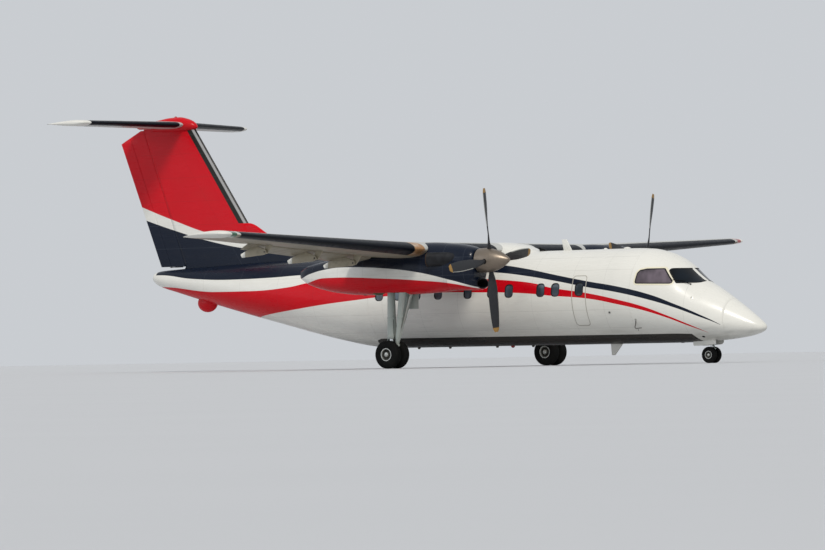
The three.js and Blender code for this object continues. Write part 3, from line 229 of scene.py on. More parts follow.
def build_mesh(name, shape, sharp=40):
    """A mesh with welded points, faces pointing out, smooth but for edges sharper than an angle."""
    weld = 1e-5
    verts, faces = shape
    mesh = bpy.data.meshes.new(name)
    mesh.from_pydata([tuple(map(float, v)) for v in verts], [], faces)
    work = bmesh.new()
    work.from_mesh(mesh)
    bmesh.ops.remove_doubles(work, verts=work.verts, dist=weld)
    bmesh.ops.dissolve_degenerate(work, edges=work.edges, dist=weld)
    bmesh.ops.recalc_face_normals(work, faces=work.faces)
    work.to_mesh(mesh)
    work.free()
    soften(mesh, sharp)
    return mesh


def soften(mesh, sharp):
    mesh.shade_smooth()
    mesh.set_sharp_from_angle(angle=math.radians(sharp))


def add_object(name, mesh, material=None):
    thing = bpy.data.objects.new(name, mesh)
    bpy.context.scene.collection.objects.link(thing)
    if material is not None:
        mesh.materials.append(material)
    return thing


def cut(thing, cutter_shape, lining=None, operation="DIFFERENCE"):
    """Cuts or joins an object's mesh with a shape, whose faces get the lining's material."""
    material = MAT[lining] if lining else thing.data.materials[0]
    cutter = add_object("cutter", build_mesh("cutter", cutter_shape), material)
    step = thing.modifiers.new("step", "BOOLEAN")
    step.operation = operation
    step.solver = "EXACT"
    step.object = cutter
    step.material_mode = "TRANSFER"
    bpy.context.view_layer.update()
    graph = bpy.context.evaluated_depsgraph_get()
    mesh = bpy.data.meshes.new_from_object(thing.evaluated_get(graph))
    thing.modifiers.remove(step)
    old = thing.data
    thing.data = mesh
    bpy.data.meshes.remove(old)
    bpy.data.objects.remove(cutter)


def tree_of(shape):
    """A smooth surface to copy normals from: its search tree, faces, points and point normals."""
    mesh = build_mesh("source", shape, 180)
    mesh.calc_loop_triangles()
    points = [v.co.copy() for v in mesh.vertices]
    triangles = [tuple(t.vertices) for t in mesh.loop_triangles]
    normals = [v.normal.copy() for v in mesh.vertices]
    bpy.data.meshes.remove(mesh)
    return BVHTree.FromPolygons(points, triangles), triangles, points, normals


def weights(p, a, b, c):
    """How much each corner of a triangle counts at a point in it."""
    u, v, w = b - a, c - a, p - a
    uu, uv, vv, wu, wv = u.dot(u), u.dot(v), v.dot(v), w.dot(u), w.dot(v)
    size = uu * vv - uv * uv
    if abs(size) < 1e-18:
        return 1, 0, 0
    second = (vv * wu - uv * wv) / size
    third = (uu * wv - uv * wu) / size
    return 1 - second - third, second, third


def nearest_normals(point, trees):
    reach = 0.002
    normals = []
    for tree, triangles, points, point_normals in trees:
        hit, _, index, _ = tree.find_nearest(point, reach)
        if hit is None:
            continue
        corners = triangles[index]
        share = weights(hit, *[points[i] for i in corners])
        normal = sum((point_normals[i] * w for i, w in zip(corners, share)), Vector((0, 0, 0)))
        if normal.length > 1e-6:
            normals.append(normal.normalized())
    return normals


def copy_normals(thing, sources, sharp):
    """Shades what is left of smooth surfaces as before they were cut, and the cuts by angle."""
    mesh = thing.data
    soften(mesh, sharp)
    trees = [tree_of(shape) for shape in sources]
    limit = math.cos(math.radians(35))
    custom = [Vector((0, 0, 0))] * len(mesh.loops)
    found = {}
    for polygon in mesh.polygons:
        for loop in polygon.loop_indices:
            vertex = mesh.loops[loop].vertex_index
            if vertex not in found:
                found[vertex] = nearest_normals(mesh.vertices[vertex].co, trees)
            best = limit
            for normal in found[vertex]:
                agree = normal.dot(polygon.normal)
                if abs(agree) > best:
                    best = abs(agree)
                    custom[loop] = normal if agree > 0 else -normal
    mesh.normals_split_custom_set(custom)


def piece(name, shape, material, body="airframe", replaces=None, sharp=40, cuts=(), smooth=None, slot=None):
    """A finished piece of the aircraft, with cuts of [shape, lining, operation]."""
    thing = add_object(name, build_mesh(name, shape, sharp), MAT[material])
    for step in cuts:
        cut(thing, *step)
    if cuts:
        copy_normals(thing, smooth or [shape], sharp)
    return finish_piece(thing, body, slot or SLOTS[material], replaces)


def finish_piece(thing, body, slot, replaces):
    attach(thing, body)
    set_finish(thing, slot)
    if replaces:
        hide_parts(replaces)
    return thing


def mirrored(left, name, body="airframe", replaces=None):
    """The same piece on the other side, with its shading."""
    old = left.data
    loop_normals = np.zeros(len(old.loops) * 3, np.float32)
    old.corner_normals.foreach_get("vector", loop_normals)
    loop_normals = loop_normals.reshape(-1, 3) * (1, -1, 1)
    order, faces = [], []
    for polygon in old.polygons:
        loops = list(polygon.loop_indices)[::-1]
        order += loops
        faces.append([old.loops[i].vertex_index for i in loops])
    mesh = bpy.data.meshes.new(name)
    mesh.from_pydata([(v.co.x, -v.co.y, v.co.z) for v in old.vertices], [], faces)
    for material in old.materials:
        mesh.materials.append(material)
    for new, source in zip(mesh.polygons, old.polygons):
        new.material_index = source.material_index
        new.use_smooth = source.use_smooth
    mesh.normals_split_custom_set([Vector(loop_normals[i]) for i in order])
    return finish_piece(add_object(name, mesh), body, left["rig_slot"], replaces)


def pair(name, shape, material, body="airframe", replaces="", **options):
    """A piece on the left and its twin on the right, where {} stands for the side."""
    left = piece(f"{name}_left", shape, material, body.format("left"), replaces.format("left"), **options)
    return mirrored(left, f"{name}_right", body.format("right"), replaces.format("right"))


def box_shape(low, high):
    corners = [(x, y, z) for x in (low[0], high[0]) for y in (low[1], high[1]) for z in (low[2], high[2])]
    return corners, [(0, 1, 3, 2), (4, 6, 7, 5), (0, 4, 5, 1), (2, 3, 7, 6), (0, 2, 6, 4), (1, 5, 7, 3)]


def bevelled(shape, width, segments=2):
    """A shape with its sharper edges rounded."""
    sharper = math.radians(35)
    mesh = build_mesh("bevel", shape)
    work = bmesh.new()
    work.from_mesh(mesh)
    edges = [e for e in work.edges if len(e.link_faces) == 2 and e.calc_face_angle(0) > sharper]
    bmesh.ops.bevel(
        work, geom=edges, offset=width, segments=segments, profile=0.6, affect="EDGES", clamp_overlap=True
    )
    result = [tuple(v.co) for v in work.verts], [tuple(v.index for v in f.verts) for f in work.faces]
    work.free()
    bpy.data.meshes.remove(mesh)
    return result


def rounded_box(low, high, radius, segments=3):
    return bevelled(box_shape(low, high), radius, segments)


def turned(profile, segments, origin=(0, 0, 0), axis=UP, loop=False):
    """A shape turned round an axis, from rows of [distance along it, radius], open or in a closed loop."""
    aim = Vector(axis).normalized().to_track_quat("Z", "Y").to_matrix()
    angles = [2 * math.pi * i / segments for i in range(segments)]
    rings = []
    for along, radius in profile:
        points = [Vector((radius * math.cos(a), radius * math.sin(a), along)) for a in angles]
        rings.append([tuple(aim @ point + Vector(origin)) for point in points])
    if not loop:
        return loft(rings)
    rows = list(zip(*rings))
    return loft(rows + rows[:1], caps=False)


def rod(a, b, radius, end_radius=None, segments=20, bevel=0.0):
    """A round bar between two points, with its end edges rounded if a bevel is given."""
    a, b = Vector(a), Vector(b)
    length = (b - a).length
    end_radius = radius if end_radius is None else end_radius
    if not bevel:
        return turned([(0, radius), (length, end_radius)], segments, a, b - a)
    rounding = [(0, bevel), (bevel * 0.3, bevel * 0.3), (bevel, 0)]
    profile = [(along, radius - less) for along, less in rounding]
    profile += [(length - along, end_radius - less) for along, less in reversed(rounding)]
    return turned(profile, segments, a, b - a)


def swept(path, radius, segments=12, smooth=6):
    """A round tube along a smooth path through points."""
    last = len(path) - 1
    curve = Table(np.column_stack([np.arange(last + 1), np.array(path, float)]), loose=True)
    rows = curve.at(np.linspace(0, last, last * smooth + 1))
    rings = []
    side = None
    for i, p in enumerate(rows):
        ahead = Vector(rows[min(i + 1, len(rows) - 1)] - rows[max(i - 1, 0)]).normalized()
        side = side or ahead.orthogonal().normalized()
        side = (side - ahead * side.dot(ahead)).normalized()
        other = ahead.cross(side)
        angles = [2 * math.pi * k / segments for k in range(segments)]
        rings.append([tuple(Vector(p) + (side * math.cos(a) + other * math.sin(a)) * radius) for a in angles])
    return loft(rings)


def rounded_outline(corners, radius, steps=6):
    """A closed outline of points in a plane, with its corners rounded."""
    points = []
    count = len(corners)
    for i in range(count):
        before, here, after = (np.array(corners[(i + k) % count], float) for k in (-1, 0, 1))
        a, b = before - here, after - here
        la, lb = np.linalg.norm(a), np.linalg.norm(b)
        a, b = a / la, b / lb
        half = math.acos(float(np.clip(a @ b, -1, 1))) / 2
        reach = min(radius / math.tan(half), 0.48 * la, 0.48 * lb)
        start, end = here + a * reach, here + b * reach
        for k in range(steps + 1):
            t = k / steps
            points.append((1 - t) ** 2 * start + 2 * t * (1 - t) * here + t**2 * end)
    return np.array(points)


def rectangle(half_width, half_height):
    a, b = half_width, half_height
    return [(-a, -b), (a, -b), (a, b), (-a, b)]


def grown(outline, distance):
    """An outline moved outward by a distance, whichever way round it runs."""
    outline = np.asarray(outline, float)
    before, after = np.roll(outline, 1, axis=0), np.roll(outline, -1, axis=0)
    along = after - before
    normal = np.stack([along[:, 1], -along[:, 0]], axis=1)
    normal /= np.linalg.norm(normal, axis=1)[:, None]
    area = np.sum(outline[:, 0] * after[:, 1] - after[:, 0] * outline[:, 1])
    return outline + normal * distance * (1 if area > 0 else -1)


def side_prism(outline, y0, y1):
    """A side-view outline of [station, height] points, spread across from one y to another."""
    return loft([[place(s, y, z) for s, z in outline] for y in (y0, y1)])


def side_plate(outline, y0, y1, bevel, segments=2):
    """A plate with rounded edges, from a side-view outline of [x, height] points."""
    return bevelled(loft([[(x, y, z) for x, z in outline] for y in (y0, y1)]), bevel, segments)


# Materials


def colour(code):
    """A hex colour as linear values."""
    parts = [int(code[i : i + 2], 16) / 255 for i in (0, 2, 4)]
    return [p / 12.92 if p <= 0.04045 else ((p + 0.055) / 1.055) ** 2.4 for p in parts] + [1.0]


WHITE, NAVY, RED = colour("d8d7d0"), colour("101827"), colour("c00416")
# The beige grey under the wing and on the flaps is darkened as painted shade of the underside.
# The belly coating's charcoal is made darker than the coating itself, as painted shade of the belly.
SHADE_DARKENED_CHARCOAL, SHADE_DARKENED_BEIGE, PALE_GREY = colour("2a2826"), colour("888070"), colour("9a9a9a")
BLACK, DARK_GREY, GLASS_TINT = colour("08090b"), colour("232522"), colour("4d5963")
SEAM_HALF = 0.004


class Shader:
    """A material made of nodes."""

    def __init__(self, name, roughness=0.4, metallic=0.0, coat=0.0, specular=0.35):
        self.material = bpy.data.materials.new(name)
        self.material.use_nodes = True
        self.tree = self.material.node_tree
        self.shader = self.tree.nodes["Principled BSDF"]
        self.shader.inputs["Roughness"].default_value = roughness
        self.shader.inputs["Metallic"].default_value = metallic
        self.shader.inputs["Coat Weight"].default_value = coat
        self.shader.inputs["Coat Roughness"].default_value = 0.12
        self.shader.inputs["Specular IOR Level"].default_value = specular
        self.place = self.node("ShaderNodeTexCoord").outputs["Object"]
        split = self.node("ShaderNodeSeparateXYZ", (self.place,))
        self.x, self.y, self.z = split.outputs
        self.station = self.math("SUBTRACT", HALF_LENGTH, self.x)

    def node(self, kind, inputs=(), **settings):
        made = self.tree.nodes.new(kind)
        for name, value in settings.items():
            setattr(made, name, value)
        for slot, value in enumerate(inputs):
            self.put(made.inputs[slot], value)
        return made

    def put(self, socket, value):
        if isinstance(value, bpy.types.NodeSocket):
            self.tree.links.new(value, socket)
        elif value is not None:
            wide = socket.type == "VECTOR" and hasattr(value, "__len__")
            socket.default_value = value[:3] if wide else value

    def math(self, operation, *values, clamp=False):
        return self.node("ShaderNodeMath", values, operation=operation, use_clamp=clamp).outputs[0]

    def mix(self, share, first, second):
        node = self.node("ShaderNodeMix", data_type="RGBA")
        self.put(node.inputs[0], share)
        self.put(node.inputs[6], first)
        self.put(node.inputs[7], second)
        return node.outputs[2]

    def above(self, value, edge, soft=0.004):
        """0 below an edge, 1 above it."""
        offset = self.math("SUBTRACT", value, edge)
        return self.math("MULTIPLY_ADD", offset, 1 / soft, 0.5, clamp=True)

    def below(self, value, edge, soft=0.004):
        return self.math("SUBTRACT", 1.0, self.above(value, edge, soft))

    def both(self, *shares):
        total = shares[0]
        for share in shares[1:]:
            total = self.math("MULTIPLY", total, share)
        return total

    def either(self, *shares):
        total = shares[0]
        for share in shares[1:]:
            total = self.math("MAXIMUM", total, share)
        return total

    def line(self, value, centre, half):
        """1 on a line of a given half width, fading to 0 beside it."""
        distance = self.math("ABSOLUTE", self.math("SUBTRACT", value, centre))
        return self.math("SUBTRACT", 1.0, self.math("DIVIDE", distance, half), clamp=True)

    def lines(self, value, centres, half=SEAM_HALF):
        return self.either(*[self.line(value, centre, half) for centre in centres])

    def repeated(self, value, spacing, half=SEAM_HALF):
        """Lines at every multiple of a spacing."""
        distance = self.math("PINGPONG", value, spacing / 2)
        near = self.math("SUBTRACT", spacing / 2, distance)
        return self.math("SUBTRACT", 1.0, self.math("DIVIDE", near, half), clamp=True)

    def profile(self, value, points, low, high, span, smooth=True):
        """A height that follows points of [key, height], for keys from low to high, up to span."""
        key = self.math("DIVIDE", self.math("SUBTRACT", value, low), high - low, clamp=True)
        node = self.node("ShaderNodeFloatCurve")
        self.put(node.inputs["Value"], key)
        curve = node.mapping.curves[0]
        rows = [((k - low) / (high - low), h / span) for k, h in points]
        rows = [(0.0, rows[0][1])] + [r for r in rows if 0 < r[0] < 1] + [(1.0, rows[-1][1])]
        curve.points[0].location = rows[0]
        curve.points[1].location = rows[-1]
        for row in rows[1:-1]:
            curve.points.new(*row)
        for point in curve.points:
            point.handle_type = "AUTO_CLAMPED" if smooth else "VECTOR"
        node.mapping.update()
        return self.math("MULTIPLY", node.outputs[0], span)

    def noise(self, scale, detail=3.0, stretch=None):
        place = self.place
        if stretch:
            place = self.node("ShaderNodeMapping", (place, None, None, stretch)).outputs[0]
        node = self.node("ShaderNodeTexNoise")
        self.put(node.inputs["Vector"], place)
        node.inputs["Scale"].default_value = scale
        node.inputs["Detail"].default_value = detail
        return node.outputs["Fac"]

    def ramp(self, value, low, high, to_low=0.0, to_high=1.0):
        return self.node("ShaderNodeMapRange", (value, low, high, to_low, to_high)).outputs[0]

    def tinted(self, base, share, amount):
        """A colour made lighter and darker by a share from 0 to 1."""
        factor = self.ramp(share, 0.25, 0.75, 1 - amount, 1 + amount)
        node = self.node("ShaderNodeVectorMath", operation="SCALE")
        self.put(node.inputs[0], base)
        self.put(node.inputs["Scale"], factor)
        return node.outputs[0]

    def bump(self, height, distance=0.001, strength=1.0):
        node = self.node("ShaderNodeBump")
        node.inputs["Strength"].default_value = strength
        node.inputs["Distance"].default_value = distance
        self.put(node.inputs["Height"], height)
        return node.outputs[0]

    def done(self, base, roughness=None, normal=None):
        self.put(self.shader.inputs["Base Color"], base)
        self.put(self.shader.inputs["Roughness"], roughness)
        self.put(self.shader.inputs["Normal"], normal)
        return self.material


def finish_paint(shader, paint, seams, rough=0.3, dirt=None, rivets=None):
    """Paint with uneven gloss, grime, and thin seams between its panels, pale ones on dark paint."""
    broad = shader.noise(0.8, 4.0)
    streaks = shader.noise(3.0, 4.0, stretch=(0.35, 2.0, 2.0))
    fine = shader.noise(60.0, 2.0)
    paint = shader.tinted(paint, broad, 0.035)
    light = shader.node("ShaderNodeRGBToBW", (paint,)).outputs[0]
    paint = shader.mix(shader.ramp(streaks, 0.52, 0.8, 0.0, 0.05), paint, colour("5d584e"))
    if dirt is not None:
        grime = shader.both(dirt, shader.ramp(streaks, 0.35, 0.7, 0.25, 0.9))
        paint = shader.mix(grime, paint, colour("3c362d"))
    height = shader.math("MULTIPLY", fine, 0.05)
    if seams is not None:
        shade = shader.mix(shader.ramp(light, 0.03, 0.08), colour("6d747c"), colour("2a2a29"))
        paint = shader.mix(shader.math("MULTIPLY", seams, 0.42), paint, shade)
        height = shader.math("SUBTRACT", height, seams)
    if rivets is not None:
        paint = shader.mix(shader.math("MULTIPLY", rivets, 0.3), paint, colour("55524b"))
        height = shader.math("SUBTRACT", height, shader.math("MULTIPLY", rivets, 0.35))
    gloss = shader.ramp(streaks, 0.3, 0.75, rough - 0.05, rough + 0.14)
    coat = shader.shader.inputs["Coat Weight"]
    shader.put(coat, shader.ramp(light, 0.1, 0.5, coat.default_value * 0.2, coat.default_value))
    shader.put(shader.shader.inputs["Specular IOR Level"], shader.ramp(light, 0.1, 0.5, 0.12, 0.35))
    return shader.done(paint, gloss, shader.bump(height, 0.0012, 0.8))


def rivet_rows(shader, along, across, row_spacing, pitch=0.05):
    """Dots along both sides of repeated seams."""
    offset = shader.math("PINGPONG", across, row_spacing / 2)
    near_seam = shader.line(shader.math("SUBTRACT", row_spacing / 2, offset), 0.022, 0.004)
    dots = shader.repeated(along, pitch, 0.006)
    return shader.both(near_seam, dots)


# Height of the stripe edges along the body, as [station, height]
NAVY_TOP = [(0.9, 0.9), (1.08, 1.05), (1.71, 1.38), (2.35, 1.66), (3.03, 1.92), (3.97, 2.15), (5.0, 2.32)]
NAVY_TOP += [(6.05, 2.51), (7.06, 2.70), (8.1, 2.85), (9.5, 3.0), (11.0, 3.14), (12.2, 3.24), (13.0, 3.4)]
NAVY_FOOT = [(0.9, 0.9), (1.08, 1.04), (1.71, 1.31), (2.35, 1.56), (3.03, 1.77), (3.97, 1.99), (5.0, 2.16)]
NAVY_FOOT += [(6.05, 2.35), (7.06, 2.51), (8.1, 2.63), (10.0, 2.72), (12.5, 2.745), (14.91, 2.72)]
NAVY_FOOT += [(16.18, 2.67), (17.69, 2.65), (19.28, 2.71), (20.8, 2.85)]
RED_TOP = [(1.3, 0.74), (1.48, 0.84), (1.98, 1.09), (2.6, 1.36), (3.27, 1.61), (3.97, 1.79), (4.96, 1.99)]
RED_TOP += [(6.25, 2.18), (6.7, 2.29), (7.9, 2.42), (10.0, 2.52), (12.5, 2.55), (14.52, 2.50), (15.36, 2.38)]
RED_TOP += [(16.86, 2.30), (18.47, 2.31), (20.8, 2.5)]
RED_FOOT = [(1.3, 0.74), (1.48, 0.835), (1.98, 1.04), (2.6, 1.29), (3.27, 1.50), (3.97, 1.66), (4.96, 1.84)]
RED_FOOT += [(6.25, 1.95), (6.7, 2.0), (7.9, 2.07), (8.4, 2.08), (9.74, 2.11), (10.32, 2.09), (11.8, 2.04)]
RED_FOOT += [(12.9, 1.95), (13.9, 1.866), (14.95, 1.757), (16.82, 1.56), (17.6, 1.45), (18.2, 1.2)]
# Height of the belly's coating, and where the frames under the skin show
BELLY_EDGE = [(1.8, 0.45), (1.87, 0.6), (1.97, 0.81), (2.4, 0.825), (5.0, 0.83), (12.3, 0.85)]
BELLY_EDGE += [(12.5, 0.8), (12.58, 0.65)]
BODY_FRAMES = [2.05, 4.42, 5.47, 6.8, 9.3, 10.6, 11.9, 14.4, 15.8, 17.3, 18.8]


def in_stripe(shader, top, foot, start):
    low, high, span = 0.5, 21.5, 4.0
    roof = shader.profile(shader.station, top, low, high, span)
    floor = shader.profile(shader.station, foot, low, high, span)
    inside = shader.both(shader.above(shader.z, floor), shader.below(shader.z, roof))
    return shader.both(inside, shader.above(shader.station, start))


def body_paint():
    """White body with a navy and a red stripe that widen aft, and a charcoal coated belly, its charcoal
    darkened as painted shade.
    """
    shader = Shader("body_paint", coat=0.25)
    navy = in_stripe(shader, NAVY_TOP, NAVY_FOOT, 1.08)
    red = in_stripe(shader, RED_TOP, RED_FOOT, 1.48)
    tail_cone = shader.below(shader.station, 20.9)
    paint = shader.mix(shader.both(navy, tail_cone), WHITE, NAVY)
    paint = shader.mix(red, paint, RED)
    edge = shader.profile(shader.station, BELLY_EDGE, 1.5, 12.6, 2.0, smooth=False)
    ends = shader.both(shader.above(shader.station, 1.84), shader.below(shader.station, 12.58))
    belly = shader.both(shader.below(shader.z, edge), ends)
    paint = shader.mix(belly, paint, SHADE_DARKENED_CHARCOAL)
    frames = shader.lines(shader.station, BODY_FRAMES)
    laps = shader.lines(shader.z, [1.02, 1.52, 2.62, 2.98])
    laps = shader.both(laps, shader.above(shader.station, 3.6), shader.below(shader.station, 17.3))
    seams = shader.either(frames, laps)
    around = shader.math("ADD", shader.z, shader.math("MULTIPLY", shader.math("ABSOLUTE", shader.y), 0.7))
    rivets = rivet_rows(shader, around, shader.station, 0.66)
    rivets = shader.both(rivets, shader.above(shader.station, 1.1))
    low = shader.ramp(shader.z, 0.5, 1.15, 0.55, 0.0)
    return finish_paint(shader, paint, seams, 0.27, dirt=low, rivets=rivets)


# Edges of the white stripe on the tail, as [station, height]
TAIL_WHITE_FOOT = [(14.4, 3.3), (15.47, 3.348), (16.16, 3.386), (17.55, 3.548), (18.96, 3.815)]
TAIL_WHITE_FOOT += [(20.23, 4.148), (21.48, 4.519), (22.2, 4.75)]
TAIL_WHITE_TOP = [(15.0, 3.55), (16.09, 3.672), (17.55, 3.796), (18.95, 4.043), (20.22, 4.434)]
TAIL_WHITE_TOP += [(21.65, 4.929), (22.2, 5.13)]


def tail_paint():
    """Navy at the foot, a rising white stripe, red above, and grey bands along the leading edge."""
    shader = Shader("tail_paint", coat=0.25)
    low, high, span = 14.0, 22.3, 8.0
    foot = shader.profile(shader.station, TAIL_WHITE_FOOT, low, high, span)
    roof = shader.profile(shader.station, TAIL_WHITE_TOP, low, high, span)
    paint = shader.mix(shader.above(shader.z, foot), NAVY, WHITE)
    paint = shader.mix(shader.above(shader.z, roof), paint, RED)
    slope = FIN["lead_slope"]
    lead = shader.math("MULTIPLY_ADD", shader.z, slope, FIN["lead_top"] - FIN["top"] * slope)
    aft = shader.math("SUBTRACT", shader.station, lead)
    on_boot = shader.above(shader.z, 4.3)
    paint = shader.mix(shader.both(shader.below(aft, 0.285), on_boot), paint, DARK_GREY)
    paint = shader.mix(shader.both(shader.below(aft, 0.125), on_boot), paint, PALE_GREY)
    paint = shader.mix(shader.both(shader.below(aft, 0.04), on_boot), paint, BLACK)
    ribs = shader.lines(shader.z, [3.62, 4.3, 5.0, 5.7, 6.4, 6.95])
    spar = shader.lines(aft, [0.3, 0.95])
    rivets = rivet_rows(shader, shader.station, shader.z, 0.35)
    return finish_paint(shader, paint, shader.either(ribs, spar), 0.27, rivets=rivets)


NACELLE_WHITE_TOP = [(6.4, 2.13), (6.54, 2.165), (7.4, 2.40), (8.37, 2.623), (9.7, 2.78), (11.09, 2.831)]
NACELLE_WHITE_TOP += [(11.8, 2.77), (12.3, 2.675), (12.8, 2.56)]
NACELLE_RED_TOP = [(6.4, 2.10), (6.54, 2.129), (7.35, 2.30), (8.49, 2.415), (9.8, 2.50), (11.21, 2.553)]
NACELLE_RED_TOP += [(11.82, 2.545), (12.35, 2.445), (12.8, 2.36)]


def nacelle_paint():
    """Navy above, a white band, and red below."""
    shader = Shader("nacelle_paint", coat=0.8)
    low, high, span = 6.3, 12.9, 4.0
    white_top = shader.profile(shader.station, NACELLE_WHITE_TOP, low, high, span)
    red_top = shader.profile(shader.station, NACELLE_RED_TOP, low, high, span)
    paint = shader.mix(shader.above(shader.z, white_top), WHITE, NAVY)
    paint = shader.mix(shader.below(shader.z, red_top), paint, RED)
    frames = shader.lines(shader.station, [6.98, 7.62, 8.35, 9.5, 10.3, 11.2, 12.2])
    laps = shader.lines(shader.z, [2.53, 3.02])
    aside = shader.math("SUBTRACT", shader.math("ABSOLUTE", shader.y), NACELLE_Y)
    sooty = shader.both(
        shader.ramp(shader.station, 8.9, 9.6, 0.0, 0.6),
        shader.ramp(shader.station, 10.2, 12.2, 1.0, 0.1),
        shader.line(shader.z, 2.8, 0.34),
        shader.above(aside, 0.1, 0.3),
    )
    rivets = rivet_rows(shader, shader.z, shader.station, 0.42)
    return finish_paint(shader, paint, shader.either(frames, laps), 0.25, dirt=sooty, rivets=rivets)


def plain_paint(name, base, rough=0.38, seams_at=None, spacing=None, coat=0.2, dirt=0.0):
    """One paint colour with seams at stations and at equal distances from the centreline."""
    shader = Shader(name, coat=coat)
    seams = shader.lines(shader.station, seams_at) if seams_at else None
    rivets = None
    if spacing:
        across = shader.math("ABSOLUTE", shader.y)
        ribs = shader.repeated(across, spacing)
        seams = shader.either(seams, ribs) if seams else ribs
        rivets = rivet_rows(shader, shader.station, across, spacing)
    worn = shader.ramp(shader.noise(2.0, 3.0), 0.4, 0.8, 0.0, dirt) if dirt else None
    return finish_paint(shader, base, seams, rough, dirt=worn, rivets=rivets)


def wing_paint():
    """Pale grey above and beige grey below, the beige darkened as painted shade, white at the tips, with ribs
    and spars as seams.
    """
    shader = Shader("wing_paint", coat=0.15)
    across = shader.math("ABSOLUTE", shader.y)
    normal = shader.node("ShaderNodeNewGeometry").outputs["Normal"]
    up = shader.node("ShaderNodeSeparateXYZ", (normal,)).outputs[2]
    paint = shader.mix(shader.above(up, 0.0, 0.4), SHADE_DARKENED_BEIGE, colour("b9bab6"))
    paint = shader.mix(shader.above(across, 12.62), paint, WHITE)
    out = shader.math("MULTIPLY", shader.math("SUBTRACT", across, WING["joint"]), LEAD_SWEEP)
    lead = shader.math("ADD", shader.math("MAXIMUM", out, 0.0), WING["lead"])
    aft = shader.math("SUBTRACT", shader.station, lead)
    spars = shader.lines(aft, [0.26, 0.9, 1.42])
    ribs = shader.repeated(across, 0.82)
    rivets = rivet_rows(shader, shader.station, across, 0.82)
    fuel = shader.ramp(shader.noise(1.5, 5.0, stretch=(0.4, 1.6, 1.0)), 0.45, 0.8, 0.0, 0.4)
    return finish_paint(shader, paint, shader.either(spars, ribs), 0.42, dirt=fuel, rivets=rivets)


def arm_paint():
    """Beige flap arms with white tails behind the flaps, the white a painted highlight of their sunlit ends.
    """
    shader = Shader("arm_paint", coat=0.1)
    mottle = shader.noise(8.0, 4.0)
    out = shader.math("SUBTRACT", shader.math("ABSOLUTE", shader.y), WING["joint"])
    out = shader.math("MAXIMUM", out, 0.0)
    trail = shader.math("MULTIPLY_ADD", out, TRAIL_SWEEP, WING["lead"] + WING["chord"])
    # The white aft of the trailing edge is a painted highlight of the arms' sunlit ends.
    tail = shader.above(shader.math("SUBTRACT", shader.station, trail), 0.05, 0.02)
    paint = shader.mix(tail, colour("9a927f"), WHITE)
    paint = shader.tinted(paint, mottle, 0.08)
    grease = shader.ramp(shader.noise(5.0, 4.0), 0.5, 0.8, 0.0, 0.5)
    paint = shader.mix(grease, paint, colour("5b5446"))
    return shader.done(paint, shader.ramp(mottle, 0.3, 0.7, 0.4, 0.6), shader.bump(mottle, 0.0008, 0.3))


def tailplane_paint():
    """Pale grey with white tips and a rib seam every half metre."""
    shader = Shader("tailplane_paint", coat=0.2)
    across = shader.math("ABSOLUTE", shader.y)
    paint = shader.mix(shader.above(across, 3.67), colour("b3b4b0"), WHITE)
    ribs = shader.repeated(across, 0.52)
    rivets = rivet_rows(shader, shader.station, across, 0.52)
    dust = shader.ramp(shader.noise(1.5, 5.0), 0.45, 0.8, 0.0, 0.3)
    return finish_paint(shader, paint, ribs, 0.4, dirt=dust, rivets=rivets)


def rubber_boot():
    shader = Shader("boot_rubber", specular=0.12)
    mottle = shader.noise(9.0, 4.0)
    paint = shader.mix(shader.ramp(mottle, 0.35, 0.75), colour("05080f"), colour("0c111b"))
    across = shader.math("ABSOLUTE", shader.y)
    tubes = shader.repeated(across, 0.055, 0.03)
    height = shader.math("ADD", shader.math("MULTIPLY", tubes, 0.5), shader.noise(80.0, 2.0))
    rough = shader.ramp(mottle, 0.3, 0.8, 0.33, 0.5)
    return shader.done(paint, rough, shader.bump(height, 0.0008, 0.5))


def metal(name, base, rough=0.3, stretch=(1, 1, 1), scale=30.0, tint=0.08, stain=None, metallic=1.0):
    """Bare or plated metal with fine lines along one direction."""
    shader = Shader(name, metallic=metallic)
    lines = shader.noise(scale, 4.0, stretch=stretch)
    paint = shader.tinted(base, lines, tint)
    if stain:
        patches = shader.ramp(shader.noise(5.0, 4.0), 0.45, 0.75, 0.0, 0.7)
        paint = shader.mix(patches, paint, stain)
    gloss = shader.ramp(lines, 0.25, 0.75, rough - 0.06, rough + 0.12)
    return shader.done(paint, gloss, shader.bump(lines, 0.0006, 0.35))


def gear_paint():
    """Grey-green painted forgings, chipped to metal in spots and greasy low down."""
    shader = Shader("gear_paint")
    mottle = shader.noise(14.0, 5.0)
    paint = shader.tinted(colour("a9b1ab"), mottle, 0.07)
    chips = shader.ramp(shader.noise(38.0, 3.0), 0.66, 0.7)
    paint = shader.mix(shader.math("MULTIPLY", chips, 0.7), paint, colour("c3c2bb"))
    grease = shader.both(shader.ramp(shader.z, 0.95, 0.35, 0.1, 0.6), shader.ramp(mottle, 0.4, 0.7))
    paint = shader.mix(grease, paint, colour("2b2721"))
    return shader.done(paint, shader.ramp(mottle, 0.3, 0.7, 0.35, 0.55), shader.bump(mottle, 0.0008, 0.3))


def tyre_rubber():
    shader = Shader("tyre_rubber", specular=0.12)
    mottle = shader.noise(20.0, 5.0)
    dust = shader.ramp(shader.noise(4.0, 4.0), 0.45, 0.8, 0.0, 0.35)
    paint = shader.mix(shader.ramp(mottle, 0.3, 0.7), colour("070808"), colour("101111"))
    paint = shader.mix(dust, paint, colour("211f1d"))
    grain = shader.noise(220.0, 2.0)
    return shader.done(paint, shader.ramp(mottle, 0.3, 0.7, 0.68, 0.86), shader.bump(grain, 0.0006, 0.6))


